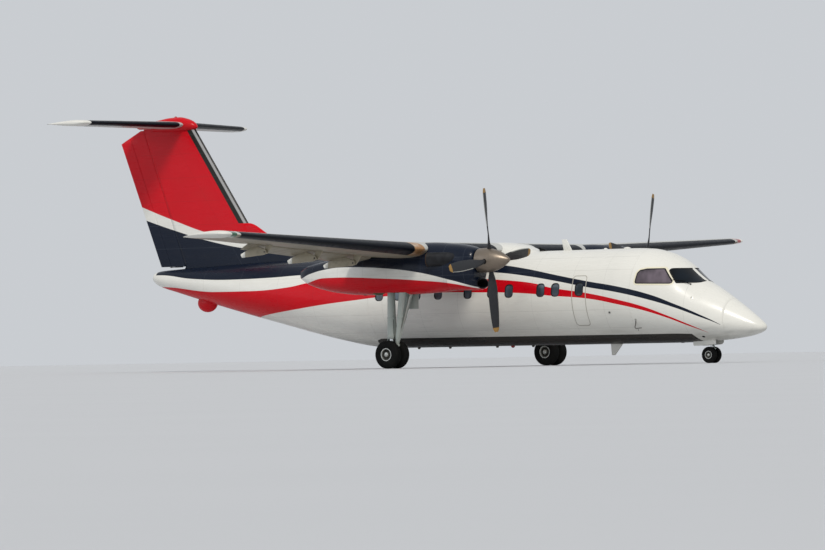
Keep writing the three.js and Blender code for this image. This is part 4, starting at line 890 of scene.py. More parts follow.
def blade_composite():
    """Dark grey blades with amber tips."""
    shader = Shader("blade_composite", specular=0.4)
    mottle = shader.noise(16.0, 4.0)
    paint = shader.mix(shader.ramp(mottle, 0.3, 0.75), colour("17191d"), colour("26282c"))
    across = shader.math("SUBTRACT", shader.math("ABSOLUTE", shader.y), NACELLE_Y)
    up = shader.math("SUBTRACT", shader.z, PROP_Z)
    across = shader.math("MULTIPLY", across, across)
    radius = shader.math("SQRT", shader.math("MULTIPLY_ADD", up, up, across))
    amber = shader.tinted(colour("927038"), mottle, 0.1)
    paint = shader.mix(shader.above(radius, TIP_RADIUS), paint, amber)
    return shader.done(paint, shader.ramp(mottle, 0.3, 0.7, 0.42, 0.6), shader.bump(mottle, 0.0006, 0.3))


def glazing(name, tint, rough=0.06, specular=0.35):
    shader = Shader(name, coat=0.15, specular=specular)
    # Broad lighter and darker sweeps across the glass are a painted reflection; the same sweeps vary its
    # gloss.
    painted_reflection_sweep = shader.noise(3.0, 2.0, stretch=(1.0, 1.0, 0.4))
    dark = [c * 0.35 for c in tint[:3]] + [1.0]
    paint = shader.mix(shader.ramp(painted_reflection_sweep, 0.35, 0.65), tint, dark)
    gloss = shader.ramp(painted_reflection_sweep, 0.3, 0.7, rough, rough + 0.06)
    return shader.done(paint, gloss, shader.bump(painted_reflection_sweep, 0.001, 0.1))


def lens(name, base, glow=0.0):
    shader = Shader(name, roughness=0.12, coat=0.8)
    ribs = shader.repeated(shader.z, 0.008)
    paint = shader.tinted(base, shader.noise(40.0, 2.0), 0.1)
    if glow:
        shader.shader.inputs["Emission Color"].default_value = base
        shader.shader.inputs["Emission Strength"].default_value = glow
    return shader.done(paint, None, shader.bump(ribs, 0.0006, 0.4))


def cabin_cloth():
    shader = Shader("cabin_trim")
    weave = shader.both(*[shader.repeated(way, 0.006, 0.003) for way in (shader.station, shader.z)])
    mottle = shader.noise(12.0, 4.0)
    paint = shader.tinted(colour("4a4d54"), mottle, 0.12)
    height = shader.math("ADD", weave, mottle)
    return shader.done(paint, shader.ramp(mottle, 0.3, 0.7, 0.7, 0.9), shader.bump(height, 0.0008, 0.5))


def cabin_lining():
    shader = Shader("cabin_lining")
    mottle = shader.noise(7.0, 4.0)
    paint = shader.tinted(colour("9a9890"), mottle, 0.05)
    ribs = shader.repeated(shader.station, 0.52, 0.006)
    paint = shader.mix(shader.math("MULTIPLY", ribs, 0.6), paint, colour("34342f"))
    grain = shader.bump(shader.noise(150.0), 0.0005, 0.4)
    return shader.done(paint, shader.ramp(mottle, 0.3, 0.7, 0.5, 0.7), grain)


MAT = {
    "body": body_paint(),
    "tail": tail_paint(),
    "nacelle": nacelle_paint(),
    "wing": wing_paint(),
    "tailplane": tailplane_paint(),
    # Flaps in the beige grey that is darkened as painted shade.
    "flap": plain_paint("flap_paint", SHADE_DARKENED_BEIGE, 0.42, spacing=0.82, dirt=0.35),
    "arm": arm_paint(),
    "grey": plain_paint("grey_paint", colour("a7a49a"), 0.42, spacing=0.66, dirt=0.25),
    "cream": plain_paint("cream_paint", colour("d9d3bd"), 0.35, coat=0.1, dirt=0.1),
    "white": plain_paint("white_paint", WHITE, 0.3, coat=0.5, dirt=0.15),
    "fairing": plain_paint("fairing_paint", WHITE, 0.3, seams_at=[7.9, 9.2, 10.7], coat=0.5, dirt=0.1),
    "red": plain_paint("red_paint", RED, 0.28, coat=0.5, dirt=0.2),
    "boot": rubber_boot(),
    # Bare metal of the wing's leading edge by the nacelles; its copper tone and pale patches are a painted
    # reflection of warm sunlight on the polished metal.
    "edge_metal": metal("edge_metal", colour("bd8d60"), 0.34, (1, 3, 1), 9.0, 0.3, colour("efe4d2"), 0.7),
    "spinner": metal("spinner_metal", colour("81766a"), 0.34, (8, 1, 1), 14.0, 0.1, metallic=0.7),
    "alloy": metal("alloy", colour("b4b4ae"), 0.36, (1, 1, 1), 40.0, 0.08),
    "chrome": metal("chrome", colour("d4d6d8"), 0.1, (1, 1, 12), 30.0, 0.03),
    "steel": metal("steel", colour("55514c"), 0.45, (1, 1, 1), 25.0, 0.12),
    "wheel_dark": metal("wheel_dark", colour("34332f"), 0.5, (1, 1, 1), 25.0, 0.15, colour("1d1b18"), 0.4),
    "pipe": metal("pipe_steel", colour("2c2d30"), 0.42, (2, 1, 1), 5.0, 0.2, colour("171513"), 0.7),
    "tan_steel": metal("tan_steel", colour("4a3625"), 0.45, (1, 1, 1), 20.0, 0.15, colour("3a2d20"), 0.7),
    # Near black: real soot inside the exhaust pipe, and painted shade lining the intake duct and the recess
    # behind the spinner.
    "soot": metal("soot", colour("141210"), 0.8, (1, 1, 1), 12.0, 0.2, metallic=0.2),
    "gear": gear_paint(),
    "rubber": tyre_rubber(),
    "seal": plain_paint("window_seal", colour("1b1c1e"), 0.6, coat=0.0),
    "blade": blade_composite(),
    "glass": glazing("windscreen_glass", colour("08121b"), specular=0.14),
    "side_glass": glazing("side_window_glass", colour("655b64")),
    "cabin_glass": glazing("cabin_glass", GLASS_TINT, 0.1),
    "trim": cabin_cloth(),
    "lining": cabin_lining(),
    "red_lens": lens("red_lens", colour("8c0f0c"), 0.05),
    "green_lens": lens("green_lens", colour("0b4a2c"), 0.05),
    "clear_lens": lens("clear_lens", colour("dfe3e6"), 0.2),
    "black": plain_paint("black_paint", BLACK, 0.5, coat=0.0),
    "inside": plain_paint("inside_primer", colour("7c8468"), 0.6, spacing=0.3, coat=0.0, dirt=0.6),
}

# The slot of each material
SLOTS = {}
for slot, keys in {
    "white_paint": "body fairing white cream",
    "navy_paint": "nacelle",
    "red_paint": "tail red",
    "grey_paint": "wing tailplane flap arm grey",
    "gear_metal": "edge_metal spinner alloy chrome gear",
    "dark_steel": "steel pipe",
    "tyre_rubber": "rubber boot seal black",
    "blade_composite": "blade",
    "window_glass": "glass side_glass cabin_glass red_lens green_lens clear_lens",
    "cabin_trim": "trim",
}.items():
    SLOTS.update({key: slot for key in keys.split()})


# Fuselage


def body_rows(stations):
    """Top, bottom, half width and widest height at stations, with a round nose."""
    stations = np.asarray(stations, float)
    top, bottom, half, widest = np.moveaxis(FUSELAGE.at(np.maximum(stations, BLUNT_NOSE)), -1, 0)
    share = np.sqrt(np.clip(stations / BLUNT_NOSE, 0, 1))
    return widest + (top - widest) * share, widest - (widest - bottom) * share, half * share, widest


def body_rings(stations, inset=0.0, count=112):
    stations = np.asarray(stations, float)
    top, bottom, half, widest = (v[:, None] for v in body_rows(stations))
    angle = np.arange(count)[None, :] / count * 2 * math.pi
    reach = np.where(np.cos(angle) > 0, top - widest, widest - bottom) - inset
    across = np.maximum(half - inset, 0.0) * np.sin(angle)
    up = widest + np.maximum(reach, 0.0) * np.cos(angle)
    return np.stack([np.broadcast_to(HALF_LENGTH - stations[:, None], up.shape), across, up], axis=2)


def body_shape(start, end, step=0.12, inset=0.0):
    return loft(body_rings(spaced(start, end, step), inset))


def room_shape(start, end, inset, floor, ceiling, y_from=-2.0):
    """A space inside the body with a flat floor and ceiling, and a flat wall if one is given."""
    rings = body_rings(spaced(start, end, 0.15), inset, 72)
    rings[:, :, 2] = np.clip(rings[:, :, 2], floor, ceiling)
    rings[:, :, 1] = np.maximum(rings[:, :, 1], y_from)
    return loft(rings)


def skin_height(station, z):
    """How far out the skin is at a height."""
    top, bottom, half, widest = body_rows(station)
    share = (z - widest) / np.where(z > widest, top - widest, widest - bottom)
    return half * np.sqrt(np.clip(1 - share**2, 0, 1))


def skin_point(station, z, side=1, depth=0.0):
    """A point of the skin in side view, or a depth inside it."""
    step = 0.004
    slope_s = (skin_height(station + step, z) - skin_height(station - step, z)) / (2 * step)
    slope_z = (skin_height(station, z + step) - skin_height(station, z - step)) / (2 * step)
    normal = Vector((float(slope_s), 1.0, float(-slope_z))).normalized()
    point = Vector(place(station, float(skin_height(station, z)), z)) - normal * depth
    return (point.x, point.y * side, point.z)


def skin_rod(start, end, side, radius, **options):
    """A bar between two points of [station, height, depth]."""
    (s, z, depth), (s_end, z_end, end_depth) = start, end
    return rod(skin_point(s, z, side, depth), skin_point(s_end, z_end, side, end_depth), radius, **options)


def skin_ring(centre, outline, side, depth):
    return [skin_point(centre[0] + a, centre[1] + b, side, depth) for a, b in outline]


def skin_plug(centre, outline, side, depths):
    """An outline spread through the skin between two depths."""
    return loft([skin_ring(centre, outline, side, depth) for depth in depths])


def skin_band(centre, outline, side, profile):
    """A closed frame that follows an outline on the skin, from rows of [reach outward, depth]."""
    rings = [skin_ring(centre, grown(outline, reach), side, depth) for reach, depth in profile]
    return loft(rings + rings[:1], caps=False)


WINDOW_Z = 2.10
WINDOW_OUTLINE = rounded_outline(rectangle(0.128, 0.178), 0.115, 8)
WINDOW_FRAME = [(-0.012, 0.018), (-0.010, 0.004), (-0.003, -0.002), (0.006, -0.003), (0.013, 0.0005)]
WINDOW_FRAME += [(0.013, 0.006), (0.002, 0.018)]
POCKET_DEPTH = 0.024
DOOR_WINDOW = 4.94
BOTH_ROWS = [6.01, 6.5, 7.56, 8.15, 8.95, 9.96, 10.7, 11.35, 12.0]
WINDOWS = {"left": BOTH_ROWS, "right": [5.22] + BOTH_ROWS}


def window_pocket(station, side):
    return skin_plug((station, WINDOW_Z), WINDOW_OUTLINE, side, (POCKET_DEPTH, -0.06))


def window_pane(station, side):
    outline = grown(WINDOW_OUTLINE, -0.004)
    rows = [(1.0, POCKET_DEPTH - 0.0005), (1.0, 0.017), (0.7, 0.0155), (0.35, 0.015), (0.08, 0.015)]
    return loft([skin_ring((station, WINDOW_Z), outline * share, side, depth) for share, depth in rows])


def window_frame(station, side):
    return skin_band((station, WINDOW_Z), WINDOW_OUTLINE, side, WINDOW_FRAME)


def pockets_between(start, end):
    """The windows' pockets in one section of the body, right row first."""
    shapes = []
    for label in ("right", "left"):
        shapes += [window_pocket(s, SIDES[label]) for s in WINDOWS[label] if start < s < end]
    return merged(*shapes)


def nose_cone():
    stations = np.concatenate([0.1 * np.linspace(0, 1, 9) ** 2, spaced(0.13, NOSE_END - SEAM, 0.06)])
    piece("nose_radome", loft(body_rings(stations)), "body", replaces="nose_cone", sharp=60)


WINDSCREEN = [(1.8, 2.23), (2.335, 2.22), (2.645, 2.605), (2.27, 2.605)]
SIDE_WINDOW = [(2.41, 2.21), (3.44, 2.235), (3.42, 2.5), (3.37, 2.57), (3.2, 2.605), (2.745, 2.605)]
POST_HALF = 0.08


def opening(outline, gap):
    return grown(rounded_outline(outline, 0.05), gap)


def cockpit_section():
    cuts = [
        (room_shape(2.02, 3.5, 0.09, 1.35, 3.3), "lining"),
        (rounded_box(place(2.25, -0.215, 0.4), place(1.48, 0.215, 1.0), 0.03), "inside"),
        (box_shape(place(3.8, -0.3, 1.352), place(3.45, 0.3, 2.9)), "lining"),
    ]
    for side in SIDES.values():
        for outline in (WINDSCREEN, SIDE_WINDOW):
            cuts.append((side_prism(opening(outline, 0), side * POST_HALF, side * 1.6), "seal"))
    source = body_shape(NOSE_END + SEAM, FRONT_END - SEAM, 0.08)
    piece("cockpit_section", source, "body", replaces="fuselage_nose", cuts=cuts)


def glass_pane(outline, node, material):
    outer = body_shape(1.6, 3.55, 0.07, 0.004)
    inner = body_shape(1.5, 3.59, 0.07, 0.028)
    prism = side_prism(opening(outline, -0.002), POST_HALF + 0.002, 1.6)
    cuts = [(outer, None, "INTERSECT"), (inner,)]
    pair(node, prism, material, replaces=node + "_{}", cuts=cuts, smooth=[outer])


def window_band(outline, name, outside, inside, proud, material):
    """A band round a cockpit window, between two distances from the edge of its opening."""
    outer = body_shape(1.5, 3.59, 0.07, -proud)
    inner = body_shape(1.4, 3.6, 0.07, 0.02)
    start = POST_HALF - 0.004 - outside
    hole = side_prism(opening(outline, inside), start - 0.02, 1.7)
    cuts = [(outer, None, "INTERSECT"), (inner,), (hole,)]
    pair(name, side_prism(opening(outline, outside), start, 1.6), material, cuts=cuts, smooth=[outer])


# A door's reach along the body and up, the reach of the skin that it is cut from, and its thickness
DOOR = {"from": 4.56, "to": 5.32, "low": 1.09, "high": 2.74, "skin": (4.36, 5.52), "depth": 0.09}
BAGGAGE = {"from": 13.0, "to": 14.27, "low": 1.15, "high": 2.61, "skin": (12.8, 14.5), "depth": 0.09}
SILL_AXIS = (1.053937, 1.086)


def door_outline(door, gap=0.0, radius=0.07):
    start, end, low, high = door["from"], door["to"], door["low"], door["high"]
    return grown(rounded_outline([(start, low), (end, low), (end, high), (start, high)], radius, 5), gap)


def door_panel(name, door, radius, cuts, body="airframe", replaces=None):
    """A door cut out of the body's skin."""
    start, end = door["skin"]
    source = body_shape(start, end, 0.1)
    inner = body_shape(start - 0.1, end + 0.1, 0.1, door["depth"])
    prism = side_prism(door_outline(door, 0, radius), 0.4, 1.7)
    cuts = [(source, None, "INTERSECT"), (inner, "lining")] + cuts
    piece(name, prism, "body", body, replaces, cuts=cuts, smooth=[source])


def forward_section():
    ends = (place(DOOR["from"] - 0.008, *SILL_AXIS), place(DOOR["to"] + 0.008, *SILL_AXIS))
    cuts = [
        (room_shape(4.3, 5.6, 0.09, DOOR["low"], 2.95, -0.3), "lining"),
        (box_shape(place(4.35, -0.3, 1.35), place(3.4, 0.3, 2.9)), "lining"),
        (side_prism(door_outline(DOOR, 0.008, 0.03), 0.7, 1.7), "lining"),
        (rod(*ends, 0.021), "alloy"),
        (pockets_between(FRONT_END, CENTRE_START), "seal"),
    ]
    source = body_shape(FRONT_END + SEAM, CENTRE_START - SEAM, 0.14)
    piece("forward_section", source, "body", replaces="fuselage_forward", cuts=cuts)


def passenger_door():
    handle = skin_plug((4.94, 1.62), rounded_outline(rectangle(0.09, 0.03), 0.02), 1, (0.02, -0.05))
    cuts = [(window_pocket(DOOR_WINDOW, 1), "seal"), (handle, "alloy")]
    door_panel("passenger_door_panel", DOOR, 0.07, cuts, "airstair", "passenger_door")
    piece("door_window_pane", window_pane(DOOR_WINDOW, 1), "cabin_glass", "airstair")
    piece("door_window_frame", window_frame(DOOR_WINDOW, 1), "seal", "airstair")
    grip = rounded_box(place(5.0, 1.325, 1.608), place(4.88, 1.345, 1.632), 0.006)
    piece("door_handle", grip, "alloy", "airstair")


def airstair_steps():
    """Treads with rubber grips, and curved side strings, on the door's inner face."""
    pitch = (DOOR["high"] - DOOR["low"]) / 6
    middle = (DOOR["from"] + DOOR["to"]) / 2
    treads, grips = [], []
    for i in range(5):
        z = DOOR["low"] + (i + 1) * pitch
        skin = float(skin_height(middle, z))
        low = place(middle + 0.29, skin - 0.28, z - 0.04)
        high = place(middle - 0.29, skin - 0.06, z)
        treads.append(rounded_box(low, high, 0.008, 2))
        for k in range(4):
            y = skin - 0.27 + k * 0.035
            low, high = place(middle + 0.27, y, z - 0.001), place(middle - 0.27, y + 0.012, z + 0.003)
            grips.append(rounded_box(low, high, 0.002, 1))
    piece("airstair_treads", merged(*treads), "alloy", "airstair")
    piece("airstair_grips", merged(*grips), "rubber", "airstair")
    levels = np.linspace(DOOR["low"] + 0.1, DOOR["high"] - 0.1, 12)
    depths = [float(skin_height(middle, z)) - 0.1 - 0.05 * math.sin((z - 1.2) * 2.1) for z in levels]
    for name, s in (("fore", middle - 0.31), ("aft", middle + 0.31)):
        path = [place(s, y, z) for y, z in zip(depths, levels)]
        piece(f"airstair_string_{name}", swept(path, 0.016, 12, 3), "alloy", "airstair")


def barrels():
    """The door's hinge barrels in the sill."""
    spans = ((4.65, 4.81), (5.07, 5.23))
    shapes = [rod(place(a, *SILL_AXIS), place(b, *SILL_AXIS), 0.0138, bevel=0.002) for a, b in spans]
    piece("door_hinge_barrels", merged(*shapes), "alloy", "airstair")


def centre_section():
    source = body_shape(CENTRE_START + SEAM, CENTRE_END - SEAM, 0.4)
    cuts = [(pockets_between(CENTRE_START, CENTRE_END), "seal")]
    piece("centre_section", source, "body", replaces="fuselage_centre", cuts=cuts)


def rear_section():
    stations = np.concatenate([spaced(CENTRE_END + SEAM, 20.7, 0.14), [20.85, 20.95, 21.03, 21.07, TAIL_END]])
    rings = body_rings(stations)
    middle = rings[-1].mean(axis=0)
    for row, share in ((-1, 0.55), (-2, 0.86), (-3, 0.97)):
        rings[row, :, 1:] = middle[1:] + (rings[row, :, 1:] - rings[row, :, 1:].mean(axis=0)) * share
    prism = side_prism(door_outline(BAGGAGE, 0.004, 0.1), 0.9, 1.8)
    pocket = add_object("pocket", build_mesh("pocket", prism), MAT["inside"])
    cut(pocket, body_shape(12.7, 14.6, 0.14, BAGGAGE["depth"] + 0.002))
    mesh = pocket.data
    pocket_shape = [tuple(v.co) for v in mesh.vertices], [tuple(p.vertices) for p in mesh.polygons]
    bpy.data.objects.remove(pocket)
    cuts = [(pocket_shape, "inside")]
    piece("rear_section", loft(rings), "body", replaces="fuselage_rear", sharp=60, cuts=cuts)


def baggage_door():
    outline = rounded_outline(rectangle(0.05, 0.02), 0.012)
    latches = [skin_plug((s, 1.62), outline, 1, (0.012, -0.05)) for s in (13.3, 13.97)]
    door_panel("baggage_door_panel", BAGGAGE, 0.096, [(merged(*latches), "alloy")], replaces="baggage_door")


def cabin_windows():
    for label, side in SIDES.items():
        panes = merged(*[window_pane(s, side) for s in WINDOWS[label]])
        piece(f"cabin_panes_{label}", panes, "cabin_glass")
        frames = merged(*[window_frame(s, side) for s in WINDOWS[label]])
        piece(f"cabin_window_frames_{label}", frames, "seal")


def exit_outlines():
    """Thin raised bands round the two exits, the airstair's left open along its sill."""
    profile = [(-0.011, 0.002), (-0.011, -0.0012), (0.011, -0.0012), (0.011, 0.002)]
    exits = [((5.225, 1.785), (0.225, 0.685), -1), ((4.94, 1.915), (0.4, 0.845), 1)]
    for number, (centre, half, side) in enumerate(exits):
        outline = rounded_outline(rectangle(*half), 0.1, 8)
        steps = []
        for a, b in zip(outline, np.roll(outline, -1, axis=0)):
            count = max(1, int(np.linalg.norm(b - a) / 0.06))
            steps += [a + (b - a) * k / count for k in range(count)]
        steps = np.array(steps)
        band = skin_band(centre, steps, side, profile)
        if side == SIDES["left"]:
            corner = np.argmin(np.abs(steps[:, 0]) + np.abs(steps[:, 1] + half[1]))
            steps = np.roll(steps, -corner, axis=0)
            rows = [skin_ring(centre, grown(steps, reach), side, depth) for reach, depth in profile]
            band = loft(np.stack(rows, axis=1)[steps[:, 1] > 0.06 - half[1]])
        piece(f"exit_outline_{number + 1}", band, "grey")


def cockpit_trim():
    """Deck, instrument panel, pedestal, yokes and two padded seats."""
    panel = [(2.2, 1.4), (2.45, 1.4), (2.42, 1.95), (2.5, 2.1), (2.28, 2.16), (2.18, 2.1)]
    parts = [
        room_shape(2.05, 3.47, 0.1, 1.352, 1.41),
        bevelled(side_prism(panel, -0.66, 0.66), 0.015),
        rounded_box(place(3.0, -0.14, 1.4), place(2.4, 0.14, 1.8), 0.02),
    ]
    pads = []
    turn = np.linspace(-3.6, 0.5, 12)
    for side in SIDES.values():
        y = side * 0.52
        parts.append(rod(place(2.5, y, 1.42), place(2.6, y, 1.9), 0.018))
        wheel = [place(2.6, y + 0.16 * math.cos(a), 1.92 + 0.1 * math.sin(a)) for a in turn]
        parts.append(swept(wheel, 0.012, 10, 3))
        parts.append(rounded_box(place(3.2, y - 0.2, 1.4), place(2.82, y + 0.2, 1.62), 0.03))
        pads.append(cushion(place(3.22, y - 0.22, 1.6), place(2.78, y + 0.22, 1.74)))
        pads.append(cushion(place(3.33, y - 0.22, 1.72), place(3.2, y + 0.22, 2.36)))
        pads.append(cushion(place(3.32, y - 0.12, 2.38), place(3.22, y + 0.12, 2.56)))
    piece("cockpit_trim", merged(*parts), "trim", replaces="cockpit_interior")
    seats = piece("cockpit_seat_pads", merged(*pads), "trim")


def cushion(low, high):
    """A crowned pad between two corners."""
    verts, faces = rounded_box(low, high, 0.035, 4)
    centre = (Vector(low) + Vector(high)) / 2
    size = [abs(h - l) / 2 for l, h in zip(low, high)]
    thin = size.index(min(size))
    crowned = []
    for v in verts:
        offset = Vector(v) - centre
        first, second = [min(1, abs(offset[i]) / size[i]) for i in range(3) if i != thin]
        offset[thin] *= 1 - 0.28 * (1 - (1 - first**2) * (1 - second**2))
        crowned.append(tuple(centre + offset))
    return crowned, faces


nose_cone()
cockpit_section()
COCKPIT_GLASS = [(WINDSCREEN, "windscreen", "glass"), (SIDE_WINDOW, "side_window", "side_glass")]
for outline, node, material in COCKPIT_GLASS:
    glass_pane(outline, node, material)
    window_band(outline, f"{node}_seal", 0.02, -0.004, 0.004, "seal")
window_band(SIDE_WINDOW, "side_window_frame", 0.062, 0.0215, 0.003, "cream")
cockpit_trim()
forward_section()
passenger_door()
airstair_steps()
barrels()
centre_section()
rear_section()
baggage_door()
cabin_windows()
exit_outlines()


# Wing


TIP = {"lead": 8.6, "chord": 1.4, "thick": 0.13, "rise": 0.395}
CAP = {"from": 12.7, "lead": 8.85, "chord": 1.15, "thick": 0.03}
CAMBER = 0.02
INCIDENCE = math.radians(2.5)
END_GAP = 0.025
RUN_GAP = 0.015
FLAP_CUT, AILERON_CUT = 0.72, 0.76
FLAP_REST, FLAP_DROP = 15, 0.38
FLAP_SPANS = {"inner": (1.18, 3.34), "outer": (4.54, 10.12)}
AILERON_SPAN = (10.28, 12.48)
HINGE_ARMS = {"inner": (1.56, 2.95), "outer": (5.6, 7.45, 9.8)}


def airfoil(x, thick, camber, upper):
    """Points of one face of a section, for shares x of its chord."""
    x = np.asarray(x, float)
    half = 5 * thick * (0.2969 * np.sqrt(x) - 0.126 * x - 0.3516 * x**2 + 0.2843 * x**3 - 0.1036 * x**4)
    line = 4 * camber * x * (1 - x)
    return np.stack([x, line + (half if upper else -half)], axis=-1)


def full_section(thick, camber, steps=36):
    x = (1 - np.cos(np.linspace(0, math.pi, steps + 1))) / 2
    return np.vstack([airfoil(x[::-1], thick, camber, True), airfoil(x[1:-1], thick, camber, False)])


def nose_of(cut_at, thick, camber):
    """Height and radius of the round nose of a control surface."""
    up = float(airfoil(cut_at, thick, camber, True)[1])
    down = float(airfoil(cut_at, thick, camber, False)[1])
    return (up + down) / 2, (up - down) / 2


def control_section(cut_at, thick, camber, steps=14):
    """The rear of a section with a half-round nose."""
    z, radius = nose_of(cut_at, thick, camber)
    angle = np.linspace(0, math.pi, 17)
    nose = np.stack([cut_at - radius * np.sin(angle), z + radius * np.cos(angle)], axis=1)
    upper = airfoil(np.linspace(1, cut_at, steps)[:-1], thick, camber, True)
    lower = airfoil(np.linspace(cut_at, 1, steps)[1:-1], thick, camber, False)
    return np.vstack([upper, nose, lower])


def cove_section(cut_at, thick, camber, gap, flat_front):
    """What is cut away behind a flat spar or round a nose, with everything aft of it."""
    z, radius = nose_of(cut_at, thick, camber)
    reach = radius + gap
    angle = np.linspace(0, math.pi, 17)
    nose = np.stack([cut_at - reach * np.sin(angle), z + reach * np.cos(angle)], axis=1)
    if flat_front:
        nose = np.array([[cut_at - reach, z + reach], [cut_at - reach, z - reach]])
    return np.vstack([[[1.2, 0.5], [cut_at, 0.5]], nose, [[cut_at, -0.5], [1.2, -0.5]]])


def wing_at(y):
    out = max(0.0, abs(y) - WING["joint"]) / (HALF_SPAN - WING["joint"])
    at = {key: WING[key] + (TIP[key] - WING[key]) * out for key in ("lead", "chord", "thick")}
    return dict(at, y=y, z=WING["z"] + TIP["rise"] * out, camber=CAMBER)


def wing_ring(at, points):
    points = np.asarray(points, float) * at["chord"]
    a, u = points[:, 0] - 0.25 * at["chord"], points[:, 1]
    station = at["lead"] + 0.25 * at["chord"] + a * math.cos(INCIDENCE) + u * math.sin(INCIDENCE)
    z = at["z"] - a * math.sin(INCIDENCE) + u * math.cos(INCIDENCE)
    return np.stack([HALF_LENGTH - station, np.full_like(z, at["y"]), z], axis=1)


def wing_point(y, along, up=0.0):
    """The point at a share of the chord, and a share of it above the chord line."""
    return wing_ring(wing_at(y), [[along, up]])[0]


def wing_rings(places):
    return [wing_ring(wing_at(y), full_section(wing_at(y)["thick"], CAMBER)) for y in places]


def cove_shape(span, cut_at, gap, flat_front=False, ring_at=wing_ring, place_at=wing_at):
    rings = []
    for y in (span[0] - END_GAP, span[1] + END_GAP):
        at = place_at(y)
        outline = cove_section(cut_at, at["thick"], at["camber"], gap / at["chord"], flat_front)
        rings.append(ring_at(at, outline))
    return loft(rings)


def control_shape(span, cut_at, steps, ring_at=wing_ring, place_at=wing_at):
    rings = []
    for y in np.linspace(*span, steps):
        at = place_at(y)
        rings.append(ring_at(at, control_section(cut_at, at["thick"], at["camber"])))
    return loft(rings)


def wing_panels():
    joint = WING["joint"]
    cove = cove_shape(FLAP_SPANS["inner"], FLAP_CUT, 0.02, True)
    middle = loft(wing_rings([-joint, -2.2, 0, 2.2, joint]))
    cuts = [(merged(cove, flipped(cove)), "inside")]
    piece("wing_centre_panel", middle, "wing", replaces="wing_middle", cuts=cuts)
    rings = wing_rings(np.linspace(joint + SEAM, CAP["from"], 9))
    start, rise = wing_at(CAP["from"]), wing_at(HALF_SPAN)["z"] - wing_at(CAP["from"])["z"]
    for t in np.sin(np.linspace(0, math.pi / 2, 9))[1:]:
        share = 1 - math.sqrt(max(0.0, 1 - t * t))
        at = {key: start[key] + (CAP[key] - start[key]) * share for key in ("lead", "chord", "thick")}
        at.update(y=CAP["from"] + (HALF_SPAN - CAP["from"]) * t, z=start["z"] + rise * t)
        rings.append(wing_ring(at, full_section(at["thick"], CAMBER + 0.02 * share)))
    cuts = [
        (cove_shape(FLAP_SPANS["outer"], FLAP_CUT, 0.02, True), "inside"),
        (cove_shape(AILERON_SPAN, AILERON_CUT, RUN_GAP), "inside"),
    ]
    pair("wing_panel", loft(rings), "wing", replaces="wing_{}", cuts=cuts)


def edge_shell(places, chord_end, proud, ring_at=wing_ring):
    """A thin layer over the nose of a surface, back to a share of its chord."""
    x = chord_end * (1 - np.cos(np.linspace(0, math.pi / 2, 13)))
    rings = []
    for at in places:
        upper = airfoil(x[::-1], at["thick"], at["camber"], True)
        lower = airfoil(x[1:], at["thick"], at["camber"], False)
        back = [[chord_end * 0.9, float(lower[-1][1]) * 0.7], [chord_end * 0.9, float(upper[0][1]) * 0.7]]
        outline = np.vstack([upper, lower, back])
        outside = grown(outline * at["chord"], proud) / at["chord"]
        outside[-2:] = outline[-2:]
        rings.append(ring_at(at, outside))
    return loft(rings)


def wing_edges():
    spans = (np.linspace(4.95, 12.3, 8), (1.0, 2.2, 3.36))
    boots = [edge_shell([wing_at(y) for y in span], 0.12, 0.0022) for span in spans]
    pair("wing_boot", merged(*boots), "boot")
    # The bare edge's copper and pale patches are a painted reflection.
    pair("wing_bare_edge", edge_shell([wing_at(y) for y in (4.5, 4.7, 4.94)], 0.12, 0.0016), "edge_metal")


def flap_line(which):
    """The two ends of a flap's hinge line, below the flap's nose."""
    ends = []
    for y in FLAP_SPANS[which]:
        at = wing_at(y)
        z, radius = nose_of(FLAP_CUT, at["thick"], CAMBER)
        ends.append(Vector(wing_point(y, FLAP_CUT - radius, z - FLAP_DROP / WING["chord"])))
    return ends


def turn_about(a, b, degrees):
    turn = Matrix.Rotation(math.radians(degrees), 4, (b - a).normalized())
    return Matrix.Translation(a) @ turn @ Matrix.Translation(-a)


def flap_arm(line, y):
    """The half that hangs from the wing, the half fixed to the flap, with its tail, and their bolt."""

    def on_line(y):
        return line[0].lerp(line[1], (y - line[0].y) / (line[1].y - line[0].y))

    fx, fz = on_line(y).x, on_line(y).z
    front, back = [wing_point(y, share, -0.02)[::2] for share in (0.53, 0.66)]
    near, rear, end = [wing_point(y, share)[::2] for share in (0.79, 0.9, 1.0)]
    fixed = [front, (fx + 0.05, fz - 0.04), (fx - 0.055, fz - 0.06), (fx - 0.055, fz + 0.05), back]
    tail_x, tail_z = end[0] - 0.2, end[1] - 0.06
    moving = [(fx + 0.055, fz - 0.055), (fx - 0.06, fz - 0.065), (tail_x + 0.03, tail_z - 0.1)]
    moving += [(tail_x, tail_z), rear, near, (fx + 0.055, fz + 0.055)]
    bolt = merged(
        rod(on_line(y - 0.075), on_line(y - 0.055), 0.034, segments=24, bevel=0.004),
        rod(on_line(y - 0.02), on_line(y + 0.06), 0.0255),
    )
    return (
        side_plate(rounded_outline(fixed, 0.04), y - 0.052, y - 0.012, 0.014, 3),
        side_plate(rounded_outline(moving, 0.04), y + 0.012, y + 0.058, 0.018, 3),
        bolt,
    )


def flaps():
    for which, span in FLAP_SPANS.items():
        line = flap_line(which)
        turn = turn_about(*line, -FLAP_REST)
        body = "flap_" + which + "_{}"
        arms = [flap_arm(line, y) for y in HINGE_ARMS[which]]
        fixed, moving, bolts = [merged(*shapes) for shapes in zip(*arms)]
        pair(f"flap_{which}_skin", moved(control_shape(span, FLAP_CUT, 6), turn), "flap", body, body)
        pair(f"flap_{which}_arms", moved(moving, turn), "arm", body)
        pair(f"flap_{which}_hangers", fixed, "arm")
        pair(f"flap_{which}_pins", bolts, "steel")


# Station, top, half width
ROOT_FAIRING = Table(
    [
        [7.3, 3.19, 0.42],
        [7.6, 3.29, 0.7],
        [8.0, 3.42, 0.86],
        [8.6, 3.49, 0.93],
        [10.3, 3.44, 0.93],
        [11.0, 3.33, 0.82],
        [11.6, 3.24, 0.6],
        [12.0, 3.19, 0.38],
    ]
)


